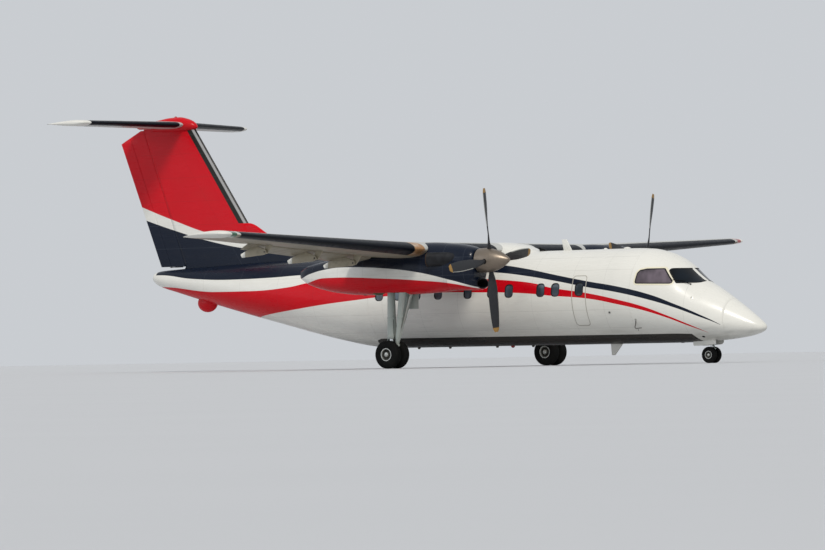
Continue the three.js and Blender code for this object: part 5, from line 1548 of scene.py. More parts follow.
def root_fairing():
    angle = np.linspace(-math.pi / 2, math.pi / 2, 65)
    foot = 2.7
    rings = []
    for station in spaced(*ROOT_FAIRING.keys[[0, -1]], 0.09):
        top, half = ROOT_FAIRING.at(station)
        across = np.sign(np.sin(angle)) * np.abs(np.sin(angle)) ** 0.8 * half
        up = foot + (top - foot) * np.clip(np.cos(angle), 0, 1) ** 0.55
        rings.append(section(station, across, up))
    piece("root_fairing", loft(rings), "fairing", replaces="wing_root_fairing", sharp=60)


# Nacelles, made on the left


def squircle(top, bottom, half, square, count, shrink=0.0):
    """A rounded square, across and up, round the nacelle's plane."""
    angle = np.arange(count) / count * 2 * math.pi
    power = 2 / square
    c, s = np.cos(angle), np.sin(angle)
    across = NACELLE_Y + np.sign(s) * np.abs(s) ** power * (half - shrink)
    up = (top + bottom) / 2 + np.sign(c) * np.abs(c) ** power * ((top - bottom) / 2 - shrink)
    return across, up


def nacelle_shape(table, start, end, front_round=0.0, tail_round=0.0, count=96):
    rows = [(station, 0.0) for station in spaced(start, end, 0.09)]
    if front_round:
        shrinking = ((0.0, 1.0), (0.06, 0.66), (0.25, 0.33), (0.6, 0.09))
        rounding = [(start + share * front_round, inset * front_round) for share, inset in shrinking]
        rows = rounding + [row for row in rows if row[0] > start + front_round * 0.9]
    rings = []
    for station, shrink in rows:
        rings.append(section(station, *squircle(*table.at(station), NACELLE_SQUARE, count, shrink)))
    if tail_round:
        last = rings[-1]
        middle = last.mean(axis=0)
        for share, back in ((0.8, 0.4), (0.45, 0.8), (0.1, 1.0)):
            ring = middle + (last - middle) * share
            ring[:, 0] = last[0, 0] - tail_round * back
            rings.append(ring)
    return loft(rings)


MOUTH = {"top": 2.408, "bottom": 2.176, "half": 0.25}


def oval_ring(station, top, bottom, half, count=64):
    return section(station, *squircle(top, bottom, half, 2.2, count))


def engine_cowl():
    main = nacelle_shape(NACELLE, 6.74, COWL_END - SEAM, front_round=0.05)
    chin = nacelle_shape(CHIN, 6.65, 7.5, front_round=0.025, count=80)
    mouth = tuple(MOUTH.values())
    duct = [(6.5, *mouth), (6.8, *mouth), (7.0, 2.35, 2.19, 0.23), (7.35, 2.31, 2.2, 0.18)]
    hub_hole = rod(place(6.6, NACELLE_Y, PROP_Z), place(6.82, NACELLE_Y, PROP_Z), 0.3, segments=64)
    # The intake duct and the recess behind the spinner are lined near black as painted shade.
    cuts = [(chin, "nacelle", "UNION"), (loft([oval_ring(*row) for row in duct]), "soot"), (hub_hole, "soot")]
    pair("engine_cowl_skin", main, "nacelle", replaces="engine_cowl_{}", cuts=cuts, smooth=[main, chin])


def intake_lip():
    """The rounded black rim of the mouth."""
    rings = []
    for angle in circle(12):
        reach, ahead = 0.012 + 0.017 * math.cos(angle), 0.017 * math.sin(angle)
        top, bottom, half = MOUTH["top"] + reach, MOUTH["bottom"] - reach, MOUTH["half"] + reach
        rings.append(oval_ring(6.655 - ahead, top, bottom, half, 80))
    pair("intake_lip", loft(rings + rings[:1], caps=False), "boot")


def gear_nacelle():
    main = nacelle_shape(NACELLE, COWL_END + SEAM, 12.78, tail_round=0.012)
    well = rounded_box(place(10.15, NACELLE_Y - 0.3, 1.9), place(9.0, NACELLE_Y + 0.3, 2.42), 0.04)
    pair("gear_nacelle_skin", main, "nacelle", replaces="gear_nacelle_{}", cuts=[(well, "inside")])


def exhaust():
    """A flattened pipe that leans outward, burnt brown at its rim and sooty inside."""
    start, end, high, wide, axis_z = 6.98, 8.03, 0.19, 0.12, 2.975
    bottom_share, rim_share = 0.62, 0.95

    def lean(share):
        return NACELLE_Y + 0.3 + 0.33 * share**1.3

    rows = [(share, 0.0) for share in (0.0, 0.2, 0.45, 0.7, 0.9, 0.985)]
    rows += [(0.987, -0.006), (0.997, -0.006), (1.0, -0.002), (1.0, 0.01), (0.99, 0.014)]
    rows += [(0.8, 0.016), (bottom_share, 0.02), (0.6, 0.1)]
    angle = circle(56)
    rings = []
    for share, inset in rows:
        across = lean(share) + (wide - inset) * np.sin(angle)
        rings.append(section(start + (end - start) * share, across, axis_z + (high - inset) * np.cos(angle)))
    pipe = piece("exhaust_pipe_left", loft(rings), "pipe", replaces="exhaust_left")
    pipe.data.materials.append(MAT["tan_steel"])
    pipe.data.materials.append(MAT["soot"])
    for face in pipe.data.polygons:
        share = (HALF_LENGTH - face.center.x - start) / (end - start)
        middle = Vector((face.center.x, lean(max(share, 0)), axis_z))
        bottom = share < bottom_share and face.normal.x < -0.9
        if bottom or face.normal.dot(face.center - middle) < 0:
            face.material_index = 2
        elif share > rim_share:
            face.material_index = 1
    mirrored(pipe, "exhaust_pipe_right", replaces="exhaust_right")


# Propellers


PROP = {"station": 6.38, "blades": 4, "phase": {"left": -13.0, "right": 7.0}}
SPINNER = [[-0.33, 0.33], [-0.1, 0.336], [0.18, 0.29], [0.4, 0.2], [0.56, 0.1], [0.64, 0.03], [0.65, 0.0]]
# Radius, chord, thickness, pitch
BLADE = Table(
    [
        [0.24, 0.118, 0.116, 54],
        [0.33, 0.124, 0.116, 54],
        [0.52, 0.205, 0.052, 45],
        [0.85, 0.280, 0.030, 33],
        [1.35, 0.302, 0.021, 21],
        [1.86, 0.240, 0.011, 14],
        [1.98, 0.130, 0.006, 12],
    ]
)


def blade_rings(radii, part=None, proud=0.0):
    """Sections of a blade, an oval at its root, or of a layer over a part of their chord."""
    root, blend, camber = 0.33, 0.35, 0.035
    rings = []
    for r in radii:
        chord, thick, pitch = BLADE.at(r)
        foil = full_section(thick / chord, camber, 18)
        angle = circle(len(foil))
        oval = np.stack([0.5 + 0.5 * np.cos(angle), 0.5 * thick / chord * np.sin(angle)], axis=1)
        share = np.clip((r - root) / blend, 0, 1)
        outline = (oval * (1 - share) + foil * share) * chord
        if part:
            keep = outline[:, 0] < part * chord
            outline = grown(outline, proud)[keep]
        along, through = 0.5 * chord - outline[:, 0], -outline[:, 1]
        c, s = math.cos(math.radians(pitch)), math.sin(math.radians(pitch))
        forward, across = along * s - through * c, -along * c - through * s
        rings.append(np.stack([forward, across, np.full_like(along, r)], axis=1))
    return rings


def propeller(side):
    body = f"propeller_{side}"
    centre = Matrix.Translation(place(PROP["station"], NACELLE_Y * SIDES[side], PROP_Z))
    angles = [PROP["phase"][side] + 360 / PROP["blades"] * i for i in range(PROP["blades"])]
    turns = [centre @ Matrix.Rotation(math.radians(a), 4, "X") for a in angles]
    radii = np.concatenate([spaced(0.24, TIP_RADIUS, 0.06), [1.9, 1.93, 1.955, 1.97, 1.98]])
    whole = loft(blade_rings(radii))
    strip = loft(blade_rings(spaced(0.95, TIP_RADIUS, 0.07), 0.09, 0.0012))
    cuff = turned([(0.2, 0.085), (0.3, 0.082), (0.315, 0.078), (0.32, 0.066)], 32)
    shaft = rod((-0.5, 0, 0), (-0.31, 0, 0), 0.09, segments=32)
    hub = merged(shaft, rod((-0.3, 0, 0), (0.16, 0, 0), 0.15, segments=32))
    blades = merged(*[moved(whole, t) for t in turns])
    piece(f"propeller_blades_{side}", blades, "blade", body, body, sharp=50)
    piece(f"propeller_edge_strips_{side}", merged(*[moved(strip, t) for t in turns]), "alloy", body)
    piece(f"propeller_cuffs_{side}", merged(*[moved(cuff, t) for t in turns]), "rubber", body)
    piece(f"propeller_hub_{side}", moved(hub, centre), "steel", body)
    rows = np.array(SPINNER)
    keys = np.concatenate([[0], np.cumsum(np.hypot(*np.diff(rows, axis=0).T))])
    curve = Table(np.column_stack([keys, rows]), loose=True).at(np.linspace(0, keys[-1], 40))
    back = [(-0.33, 0.1), (-0.33, 0.322), (-0.327, 0.329)]
    profile = back + [(x, max(radius, 0.0005)) for x, radius in curve if x > -0.32]
    nose = moved(turned(profile, 64, axis=ALONG), centre)
    piece(f"spinner_dome_{side}", nose, "spinner", body, f"spinner_{side}")


wing_panels()
wing_edges()
flaps()
pair("aileron_skin", control_shape(AILERON_SPAN, AILERON_CUT, 3), "flap", "aileron_{}", "aileron_{}")
root_fairing()
engine_cowl()
intake_lip()
gear_nacelle()
exhaust()
for side in SIDES:
    propeller(side)


# Tail


RUDDER_FOOT, RUDDER_TOP_AFT, RUDDER_TOP_FORE = 3.09, 6.77, 7.165
ELEVATOR_CUT, ELEVATOR_SPAN = 0.6, (0.29, 3.56)
TAIL_THICK, TIP_ROUND = 0.12, 0.14


def fin_lead(z):
    return FIN["lead_top"] - (FIN["top"] - z) * FIN["lead_slope"]


def fore_hinge(z):
    return 19.9 + (z - FIN["foot"]) * 0.365


def trail_hinge(z):
    return 20.44 + (z - FIN["foot"]) * 0.378


def rudder_trail(z):
    return LENGTH - (RUDDER_TOP_AFT - z) * 0.388


def fin_half(z, station):
    """Half the fin's thickness."""
    lead, trail = fin_lead(z), rudder_trail(z)
    x = np.clip((np.asarray(station) - lead) / (trail - lead), 0, 1)
    thick = 0.3 - (z - FIN["foot"]) / (FIN["top"] - FIN["foot"]) * 0.11
    return airfoil(x, thick / (trail - lead), 0, True)[..., 1] * (trail - lead) + 0.002


def fin_sides(z, stations):
    """Points aft along the left face and back along the right."""
    left = [place(s, y, z) for s, y in zip(stations, fin_half(z, stations))]
    return left + [(x, -y, z) for x, y, z in reversed(left)]


def round_nose(hinge, foot, top):
    """What is cut out of a surface round the nose behind it."""
    radii = [float(fin_half(z, hinge(z))) + RUN_GAP - 0.002 for z in (foot, top)]
    return rod(place(hinge(foot), 0, foot), place(hinge(top), 0, top), *radii, segments=40)


def rudder_shape(hinge, end, top):
    rings = []
    for z in spaced(RUDDER_FOOT, top, 0.4):
        start = hinge(z)
        radius = float(fin_half(z, start)) - 0.002
        angles = np.linspace(-math.pi / 2, math.pi / 2, 19)
        nose = [place(start - radius * math.cos(a), radius * math.sin(a), z) for a in angles]
        rings.append(nose + fin_sides(z, np.linspace(start, end(z), 16)[1:]))
    return loft(rings)


def fin():
    rings = []
    for z in spaced(FIN["root"], FIN["top"], 0.3):
        share = 1 - np.cos(np.linspace(0, 1, 31) * math.pi / 2)
        rings.append(fin_sides(z, fin_lead(z) + (fore_hinge(z) - fin_lead(z)) * share))
    cuts = [(round_nose(fore_hinge, FIN["foot"], FIN["top"] + 0.2), "inside")]
    piece("fin_skin", loft(rings), "tail", replaces="fin", cuts=cuts)


# Station, height of the crown
DORSAL = Table([[13.2, 3.15], [14.5, 3.35], [15.8, 3.62], [16.8, 3.925], [17.56, 4.3], [18.6, 4.32]])


def dorsal_fin():
    angles = np.linspace(0, math.pi, 17)
    rings = []
    for s in spaced(*DORSAL.keys[[0, -1]], 0.1):
        half = 0.04 + 0.03 * min(1, (s - DORSAL.keys[0]) / 4)
        shoulder = float(DORSAL.at(s)[0]) - half * 1.6
        crown = [place(s, half * math.cos(a), shoulder + half * 1.6 * math.sin(a)) for a in angles]
        rings.append([place(s, half + 0.035, 3.0)] + crown + [place(s, -half - 0.035, 3.0)])
    piece("dorsal_fin", loft(rings), "tail", slot="navy_paint")


# Station, top, bottom, half width
FIN_CAP = Table(
    [
        [19.41, 7.195, 7.160, 0.025],
        [19.45, 7.260, 7.125, 0.075],
        [19.56, 7.350, 7.095, 0.135],
        [19.75, 7.430, 7.065, 0.185],
        [20.05, 7.490, 7.045, 0.210],
        [20.4, 7.480, 7.040, 0.220],
        [20.8, 7.425, 7.060, 0.205],
        [21.1, 7.385, 7.080, 0.180],
        [21.5, 7.330, 7.155, 0.110],
        [21.7, 7.290, 7.240, 0.030],
    ]
)


def fin_cap():
    angle = circle(48)
    rings = []
    for s in np.concatenate([19.41 + 0.34 * np.linspace(0, 1, 12) ** 2, np.linspace(19.8, 21.7, 24)]):
        top, bottom, half = FIN_CAP.at(s)
        middle, rise = (top + bottom) / 2, (top - bottom) / 2
        rings.append(section(s, half * np.sin(angle), middle + rise * np.cos(angle)))
    over_rudder = side_prism([(21.0, 6.9), (22.0, 6.9), (22.0, 7.177), (21.0, 7.177)], -0.4, 0.4)
    piece("fin_bullet", loft(rings), "red", cuts=[(over_rudder,), (elevator_coves(), "inside")])


def rudders():
    corners = [(21.4, RUDDER_TOP_FORE), (LENGTH, RUDDER_TOP_AFT), (LENGTH, 5.0), (LENGTH + 0.6, 5.0)]
    top_cut = side_prism(corners + [(LENGTH + 0.6, 8.0), (21.4, 8.0)], -0.4, 0.4)
    nose = round_nose(trail_hinge, RUDDER_FOOT - 0.2, RUDDER_TOP_FORE + 0.3)
    fore = rudder_shape(fore_hinge, trail_hinge, RUDDER_TOP_FORE - 0.03)
    cuts = [(nose, "inside"), (top_cut, "red")]
    piece("fore_rudder_skin", fore, "tail", "fore_rudder", "fore_rudder", cuts=cuts)
    z, half = 3.084, 0.022
    trail, low, inner = trail_hinge(z), z - 0.016, fore_hinge(z) + 0.12
    arm = rounded_box(place(trail + 0.045, -half, low), place(inner, half, z), 0.004)
    root = rounded_box(place(trail - 0.15, -half, low), place(inner, half, 3.14), 0.004)
    bolt = rod(place(trail_hinge(3.06), 0, 3.06), place(trail_hinge(3.1), 0, 3.1), 0.014, bevel=0.003)
    piece("rudder_bracket", merged(arm, root, bolt), "steel", "fore_rudder")
    trailing = rudder_shape(trail_hinge, rudder_trail, RUDDER_TOP_FORE)
    cuts = [(top_cut, "red")]
    piece("trailing_rudder_skin", trailing, "tail", "trailing_rudder", "trailing_rudder", cuts=cuts)


def tail_at(y):
    out = abs(y) / TAIL_HALF_SPAN
    lead, trail = 19.75 + 0.75 * out, 21.6 + 0.31 * out
    return {"y": y, "lead": lead, "chord": trail - lead, "z": 7.255, "thick": TAIL_THICK, "camber": 0.0}


def tail_ring(at, points):
    points = np.asarray(points, float) * at["chord"]
    return [place(at["lead"] + a, at["y"], at["z"] + u) for a, u in points]


def elevator_coves():
    one = cove_shape(ELEVATOR_SPAN, ELEVATOR_CUT, RUN_GAP, ring_at=tail_ring, place_at=tail_at)
    return merged(one, flipped(one))


def tailplane():
    full = TAIL_HALF_SPAN - TIP_ROUND
    rings = [tail_ring(tail_at(y), full_section(TAIL_THICK, 0)) for y in (0, 1.2, 2.4, 3.3, full)]
    for t in np.sin(np.linspace(0, math.pi / 2, 8))[1:]:
        share = 1 - math.sqrt(max(0.0, 1 - t * t))
        at = tail_at(full + TIP_ROUND * t)
        at = dict(at, lead=at["lead"] + 0.12 * share, chord=at["chord"] - 0.15 * share)
        rings.append(tail_ring(at, full_section(TAIL_THICK * (1 - share) + 0.025 * share, 0)))
    other = [[(x, -y, z) for x, y, z in ring] for ring in rings[:0:-1]]
    cuts = [(elevator_coves(), "inside")]
    piece("tailplane_skin", loft(other + rings), "tailplane", replaces="tailplane", cuts=cuts)
    elevator = control_shape(ELEVATOR_SPAN, ELEVATOR_CUT, 3, tail_ring, tail_at)
    pair("elevator_skin", elevator, "tailplane", "elevator_{}", "elevator_{}")
    places = [tail_at(y) for y in np.linspace(0.32, 3.66, 5)]
    pair("tailplane_boot", edge_shell(places, 0.1, 0.002, tail_ring), "boot")


# Undercarriage


MAIN = {"station": 9.72, "z": 0.389495, "radius": 0.3893, "bead": 0.168}
MAIN.update({"half": 0.12, "twin": 0.2, "sleeve": 0.045, "bolts": 10})
NOSE = {"station": 1.77, "z": 0.226174, "radius": 0.2260, "bead": 0.103}
NOSE.update({"half": 0.068, "twin": 0.118, "sleeve": 0.03, "bolts": 8})
RIM_EDGE = 0.82  # share of the half width
# A wheel's outline, outside in, as [share of its half width, share of its bead radius]
RIM = [(0.6, 0.99), (1.0, 1.03), ("lip", 1.05), ("lip", 0.93), (0.93, 0.88), (0.5, 0.82), (0.42, 0.62)]
RIM += [(0.55, 0.5), (0.62, 0.42), (0.95, 0.38), (1.0, 0.33), (1.02, 0.1), (1.02, 0.0)]


def tyre_shape(wheel, y):
    """A smooth carcass with a rounded shoulder and grooves round the tread."""
    radius, bead, half = wheel["radius"], wheel["bead"], wheel["half"]
    side = [(0.0, 0.74), (0.06, 0.84), (0.25, 0.965), (0.47, 1.0), (0.7, 0.95), (0.86, 0.83), (0.95, 0.68)]
    side.append((0.985, 0.56))
    right = [(out * half, bead + up * (radius - bead)) for up, out in side]
    groove = 0.05 * half
    for centre in (0.42, 0.14):
        c = centre * half
        depth, crown = radius - 0.008, radius - 0.004 * centre
        right += [(c + groove * 1.2, crown), (c + groove * 0.8, depth)]
        right += [(c - groove * 0.8, depth), (c - groove * 1.2, crown)]
    profile = right + [(-out, up) for out, up in reversed(right)]
    profile += [(-0.7 * half, bead - 0.004), (0.7 * half, bead - 0.004)]
    return turned(profile, 96, place(wheel["station"], y, wheel["z"]), ACROSS, loop=True)


def rim_shape(wheel, y, side):
    """A dished wheel with a hub cap and a raised flange, seen from outside."""
    bead, edge = wheel["bead"], wheel["half"] * RIM_EDGE
    lip = edge + 0.006
    profile = [(-edge, wheel["sleeve"] * 1.02), (-edge, bead * 0.9), (-lip, bead * 0.96), (-lip, bead * 1.05)]
    profile += [(-edge, bead * 1.03), (-edge * 0.6, bead * 0.99)]
    profile += [(lip if out == "lip" else edge * out, bead * up) for out, up in RIM]
    profile = [(out * side, max(radius, 0.0006)) for out, radius in profile]
    return turned(profile, 72, place(wheel["station"], y, wheel["z"]), ACROSS)


def wheel_bolts(wheel, y, side, count, ring, radius):
    """A ring of bolts; its radius and theirs are shares of the bead's."""
    radius *= wheel["bead"]
    out = wheel["half"] * RIM_EDGE * 0.44 * side
    shapes = []
    for i in range(count):
        a = 2 * math.pi * (i + 0.5) / count
        spot = Vector((math.cos(a) * wheel["bead"] * ring, out * 0.8, math.sin(a) * wheel["bead"] * ring))
        base = Vector(place(wheel["station"], y, wheel["z"])) + spot
        shapes.append(rod(base, base + Vector((0, out * 0.6, 0)), radius, segments=12, bevel=radius * 0.2))
    return merged(*shapes)


def wheel_pair(wheel, y, label, body):
    twins = [(name, side, y + side * wheel["twin"]) for name, side in SIDES.items()]
    for name, side, at_y in twins:
        rubber = tyre_shape(wheel, at_y)
        piece(f"{label}_rubber_{name}", rubber, "rubber", body, f"{label}_tyre_{name}", sharp=50)
    rims = [rim_shape(wheel, at_y, side) for name, side, at_y in twins]
    centre = Vector(place(wheel["station"], y, wheel["z"]))
    reach = Vector((0, wheel["twin"] - wheel["half"] * 0.7, 0))
    sleeve = rod(centre - reach, centre + reach, wheel["sleeve"] - 0.002, segments=32)
    wheels = piece(f"{label}_wheels", merged(*rims, sleeve), "alloy", body, f"{label}_rims", sharp=35)
    wheels.data.materials.append(MAT["wheel_dark"])
    for face in wheels.data.polygons:
        out = math.hypot(face.center.x - centre.x, face.center.z - centre.z) / wheel["bead"]
        face.material_index = int(0.4 < out < 0.84)
    bolts = []
    for count, ring, radius in ((wheel["bolts"], 0.72, 0.045), (6, 0.5, 0.03)):
        bolts += [wheel_bolts(wheel, at_y, side, count, ring, radius) for name, side, at_y in twins]
    piece(f"{label}_wheel_bolts", merged(*bolts), "steel", body)


def brake_shape(wheel, y, side):
    bead = wheel["bead"]
    rows = [(0.088, 0.055), (0.088, bead * 0.82), (0.096, bead * 0.86), (0.102, bead * 0.86)]
    rows += [(0.104, bead * 0.8), (0.104, 0.055)]
    return turned([(a * side, r) for a, r in rows], 48, place(wheel["station"], y, wheel["z"]), ACROSS)


def cross_rod(at, station, half, height, radius, segments, bevel=0.0):
    """A bar across the gear, at a station and a height."""
    return rod(at(station, -half, height), at(station, half, height), radius, segments=segments, bevel=bevel)


def main_gear(side):
    mirror = SIDES[side]
    y = NACELLE_Y * mirror
    s, z = MAIN["station"], MAIN["z"]

    def at(station, across, height):
        return place(station, y + across * mirror, height)

    barrel = [(0, 0.08), (0.004, 0.122), (0.02, 0.132), (0.09, 0.132), (0.11, 0.126), (0.3, 0.124)]
    barrel += [(0.55, 0.12), (0.56, 0.127), (0.6, 0.127), (0.61, 0.118), (1.52, 0.1)]
    fork = [(0, 0.06), (0.05, 0.074), (0.1, 0.08), (0.13, 0.078), (0.15, 0.069)]
    parts = [turned(barrel, 40, at(s, 0, 0.82)), cross_rod(at, s, 0.072, z, 0.083, 40, 0.01)]
    parts += [turned(fork, 36, at(s, 0, z + 0.03)), cross_rod(at, s, 0.298, 2.31, 0.06, 32)]
    parts.append(rod(at(9.53, 0, 0.64), at(s, 0, 0.64), 0.04, segments=24))
    knee = s + 0.235, z + 0.25
    for offset in (-0.032, 0.032):
        bend = place(knee[0], y + offset, knee[1])
        lower, upper = at(s + 0.085, offset * 0.8, z + 0.05), at(s + 0.085, offset * 1.5, 0.87)
        parts.append(rod(lower, bend, 0.019, 0.013, segments=16, bevel=0.003))
        parts.append(rod(bend, upper, 0.013, 0.02, segments=16, bevel=0.003))
    pin = place(knee[0], y - 0.055, knee[1]), place(knee[0], y + 0.055, knee[1])
    parts.append(rod(*pin, 0.02, bevel=0.003))
    piece(f"main_leg_casting_{side}", merged(*parts), "gear", replaces=f"main_leg_{side}")
    piece(f"main_leg_piston_{side}", rod(at(s, 0, z + 0.1), at(s, 0, 0.86), 0.066, segments=40), "chrome")
    foot = Vector(at(9.56, 0, 0.64))
    brace = []
    for offset in (-0.19, 0.19):
        top = Vector(at(9.18, offset, 2.24))
        middle, aim = foot.lerp(top, 0.5), (top - foot).normalized() * 0.04
        brace.append(rod(foot, top, 0.05, 0.104, segments=32))
        brace.append(rod(middle - aim, middle + aim, 0.087, segments=32, bevel=0.008))
    brace += [cross_rod(at, 9.18, 0.298, 2.24, 0.042, 28), cross_rod(at, 9.545, 0.06, 0.64, 0.05, 28, 0.006)]
    piece(f"drag_brace_tubes_{side}", merged(*brace), "gear", replaces=f"drag_brace_{side}")
    rest, jack_end, top = at(9.48, 0, 0.9), at(9.3, 0, 1.33), at(9.08, 0, 2.02)
    jack = merged(rod(rest, jack_end, 0.018), rod(jack_end, top, 0.03, segments=24, bevel=0.005))
    piece(f"gear_actuator_{side}", jack, "alloy")
    hoses = []
    for offset in (-0.06, 0.06):
        path = [at(s - 0.085, offset, 1.6), at(s - 0.105, offset, 1.2), at(s - 0.12, offset * 1.1, 0.92)]
        path += [at(s - 0.17, offset * 1.4, 0.72), at(s - 0.13, offset * 1.7, 0.52)]
        path.append(at(s - 0.07, offset * 1.65, 0.45))
        hoses.append(swept(path, 0.0085, 10, 6))
    piece(f"brake_hoses_{side}", merged(*hoses), "rubber")
    piece(f"brakes_{side}", merged(*[brake_shape(MAIN, y, sign) for sign in SIDES.values()]), "steel")
    door_y = -0.3
    ends = at(9.42, door_y + 0.001, 1.64), at(9.005, door_y + 0.016, 2.12)
    panel = rounded_box(np.min(ends, axis=0), np.max(ends, axis=0), 0.006)
    hinge = rod(at(9.4, door_y + 0.024, 2.11), at(9.02, door_y + 0.024, 2.11), 0.0228, segments=24)
    piece(f"main_door_panel_{side}", merged(panel, hinge), "gear", replaces=f"main_gear_door_{side}")
    wheel_pair(MAIN, y, f"main_{side}", f"main_wheels_{side}")


def nose_gear():
    s, z = NOSE["station"], NOSE["z"]
    leg = [(0, 0.05), (0.003, 0.062), (0.34, 0.062), (0.36, 0.068), (0.42, 0.068)]
    parts = [turned(leg, 36, place(s, 0, 0.56)), cross_rod(place, s, 0.214, 0.9, 0.045, 28)]
    parts.append(rod(place(s, 0, 0.64), place(2.22, 0, 0.93), 0.028, segments=24))
    parts.append(cross_rod(place, 2.205, 0.214, 0.925, 0.028, 24))
    parts.append(cross_rod(place, s + 0.02, 0.04, 0.655, 0.035, 24, 0.005))
    piece("nose_leg_casting", merged(*parts), "gear", replaces="nose_leg")
    steered = "nose_steering"
    piece("nose_piston", rod(place(s, 0, z), place(s, 0, 0.54), 0.036, segments=32), "chrome", steered)
    collar = [(0, 0.045), (0.004, 0.057), (0.01, 0.06), (0.052, 0.06), (0.0595, 0.056)]
    foot = [(0, 0.05), (0.06, 0.05), (0.09, 0.046), (0.1, 0.038)]
    parts = [turned(collar, 36, place(s, 0, 0.5)), cross_rod(place, s, 0.042, z, 0.066, 36, 0.008)]
    parts.append(turned(foot, 32, place(s, 0, z)))
    knee = s - 0.12, z + 0.17
    for y in (-0.022, 0.022):
        bend = place(knee[0], y, knee[1])
        parts.append(rod(place(s - 0.03, y, z + 0.06), bend, 0.012, 0.009, segments=14, bevel=0.002))
        parts.append(rod(bend, place(s - 0.04, y, 0.525), 0.009, 0.012, segments=14, bevel=0.002))
    parts.append(cross_rod(place, knee[0], 0.035, knee[1], 0.012, 16, 0.002))
    piece("nose_fork_casting", merged(*parts), "gear", steered, "nose_fork")
    edge = [(1.5, 0.66), (1.5, 0.56), (1.56, 0.51), (2.05, 0.482), (2.2, 0.482), (2.23, 0.52), (2.23, 0.66)]
    door = bevelled(side_prism(rounded_outline(edge, 0.02), 0.2005, 0.2145), 0.005)
    pair("nose_door_panel", door, "white", replaces="nose_gear_door_{}")
    wheel_pair(NOSE, 0, "nose", "nose_wheels")


fin()
dorsal_fin()
fin_cap()
rudders()
tailplane()
for side in SIDES:
    main_gear(side)
nose_gear()


# Small things outside


ROOF = 3.2  # a little below the crown of the cabin
BELLY = 0.6


def tail_bumper():
    around = circle(48)
    rings = []
    for along in np.linspace(0.06, math.pi - 0.06, 25):
        out = math.sin(along)
        station = 19.13 - 0.34 * math.cos(along)
        rings.append(section(station, 0.19 * out * np.sin(around), 2.0 + 0.27 * out * np.cos(around)))
    piece("tail_bumper", loft(rings), "red")


def fin_blade(name, outline, half, material):
    piece(name, bevelled(side_prism(outline, -half, half), half * 0.6, 3), material)


def dome(origin, radius, height, axis=UP):
    rows = [(-0.02, radius), (0, radius)]
    rows += [(height * math.sin(a), radius * math.cos(a)) for a in np.linspace(0.15, math.pi / 2 - 0.02, 8)]
    return turned(rows, 32, origin, axis)


def antennas():
    fin_blade("roof_antenna", [(6.29, ROOF), (6.47, 3.52), (6.64, 3.52), (6.57, ROOF)], 0.014, "white")
    fin_blade("low_antenna", [(7.02, ROOF), (7.34, 3.31), (7.42, 3.31), (7.36, ROOF)], 0.03, "black")
    fin_blade("belly_antenna", [(4.64, BELLY), (4.92, 0.265), (5.03, 0.265), (5.06, BELLY)], 0.013, "white")
    domes = merged(dome(place(4.46, 0, 3.213), 0.1, 0.045), dome(place(5.18, 0, 3.213), 0.055, 0.035))
    piece("roof_domes", domes, "white")
    for k, s in enumerate((7.6, 8.82, 10.44, 11.52)):
        outline = [(s, BELLY), (s + 0.03, 0.53), (s + 0.09, 0.53), (s + 0.12, BELLY)]
        fin_blade(f"belly_drain_{k + 1}", outline, 0.012, "steel")


def probes():
    """Pitot tubes, ports and vents round the nose, and the wipers."""
    plates, ports, tubes, wipers = [], [], [], []
    tube_bends = [(3.5, 1.2, 0.01), (3.51, 1.13, -0.05), (3.53, 1.06, -0.1)]
    arm_bends = [(2.02, 2.16, -0.022), (2.15, 2.2, -0.03), (2.3, 2.26, -0.03)]
    for side in SIDES.values():
        for group, s, z, radius, proud in (
            (plates, 1.866, 1.796, 0.035, 0.005),
            (ports, 1.866, 1.796, 0.012, 0.008),
            (plates, 4.265, 1.442, 0.04, 0.005),
            (ports, 4.265, 1.442, 0.018, 0.008),
            (ports, 1.703, 0.727, 0.045, 0.002),
            (plates, 3.49, 1.228, 0.03, 0.005),
        ):
            group.append(skin_rod((s, z, 0.02), (s, z, -proud), side, radius, segments=28, bevel=0.0015))
        tube = [skin_point(s, z, side, depth) for s, z, depth in tube_bends]
        elbow = tube[-1]
        tubes.append(swept(tube + [(elbow[0] + 0.2, elbow[1], elbow[2])], 0.011, 12, 8))
        tubes.append(skin_rod((3.5, 1.19, 0.004), (3.55, 0.93, 0.004), side, 0.011, segments=12))
        wipers.append(skin_rod((2.02, 2.16, 0.01), (2.02, 2.16, -0.03), side, 0.018, bevel=0.003))
        arm = [skin_point(s, z, side, depth) for s, z, depth in arm_bends]
        wipers.append(swept(arm, 0.008, 10, 6))
        wipers.append(skin_rod((2.17, 2.26, -0.02), (2.5, 2.29, -0.02), side, 0.007, segments=10))
    piece("nose_port_plates", merged(*plates), "alloy")
    piece("nose_ports", merged(*ports), "black")
    piece("pitot_tubes", merged(*tubes), "steel")
    piece("wipers", merged(*wipers), "black")


def lamps():
    """Wing-tip, tail and rotating lights, and the lamp on the nose leg."""
    tip = edge_shell([wing_at(y) for y in np.linspace(12.46, 12.66, 3)], 0.14, 0.003)
    right = pair("wing_tip_lens", tip, "red_lens")
    right.data.materials[0] = MAT["green_lens"]
    upper = dome(place(20.2, 0, 7.483), 0.045, 0.035)
    lower = dome(place(8.35, 0, 0.58), 0.06, 0.06, (0, 0, -1))
    piece("beacons", merged(upper, lower), "red_lens")
    piece("tail_lamp", dome(place(21.08, 0, 2.77), 0.035, 0.035, (-1, 0, 0)), "clear_lens")
    lamp = place(1.665, 0, 0.55)
    bowl = [(-0.07, 0.012), (-0.05, 0.03), (-0.01, 0.046), (0.0, 0.048), (0.004, 0.045)]
    shell = turned(bowl, 32, lamp, ALONG)
    bracket = rod(place(1.72, 0, 0.575), place(1.7, 0, 0.555), 0.012)
    piece("nose_lamp_shell", merged(shell, bracket), "alloy")
    glass = turned([(0.004, 0.043), (0.01, 0.04), (0.016, 0.02), (0.018, 0.001)], 32, lamp, ALONG)
    piece("nose_lamp_glass", glass, "clear_lens")


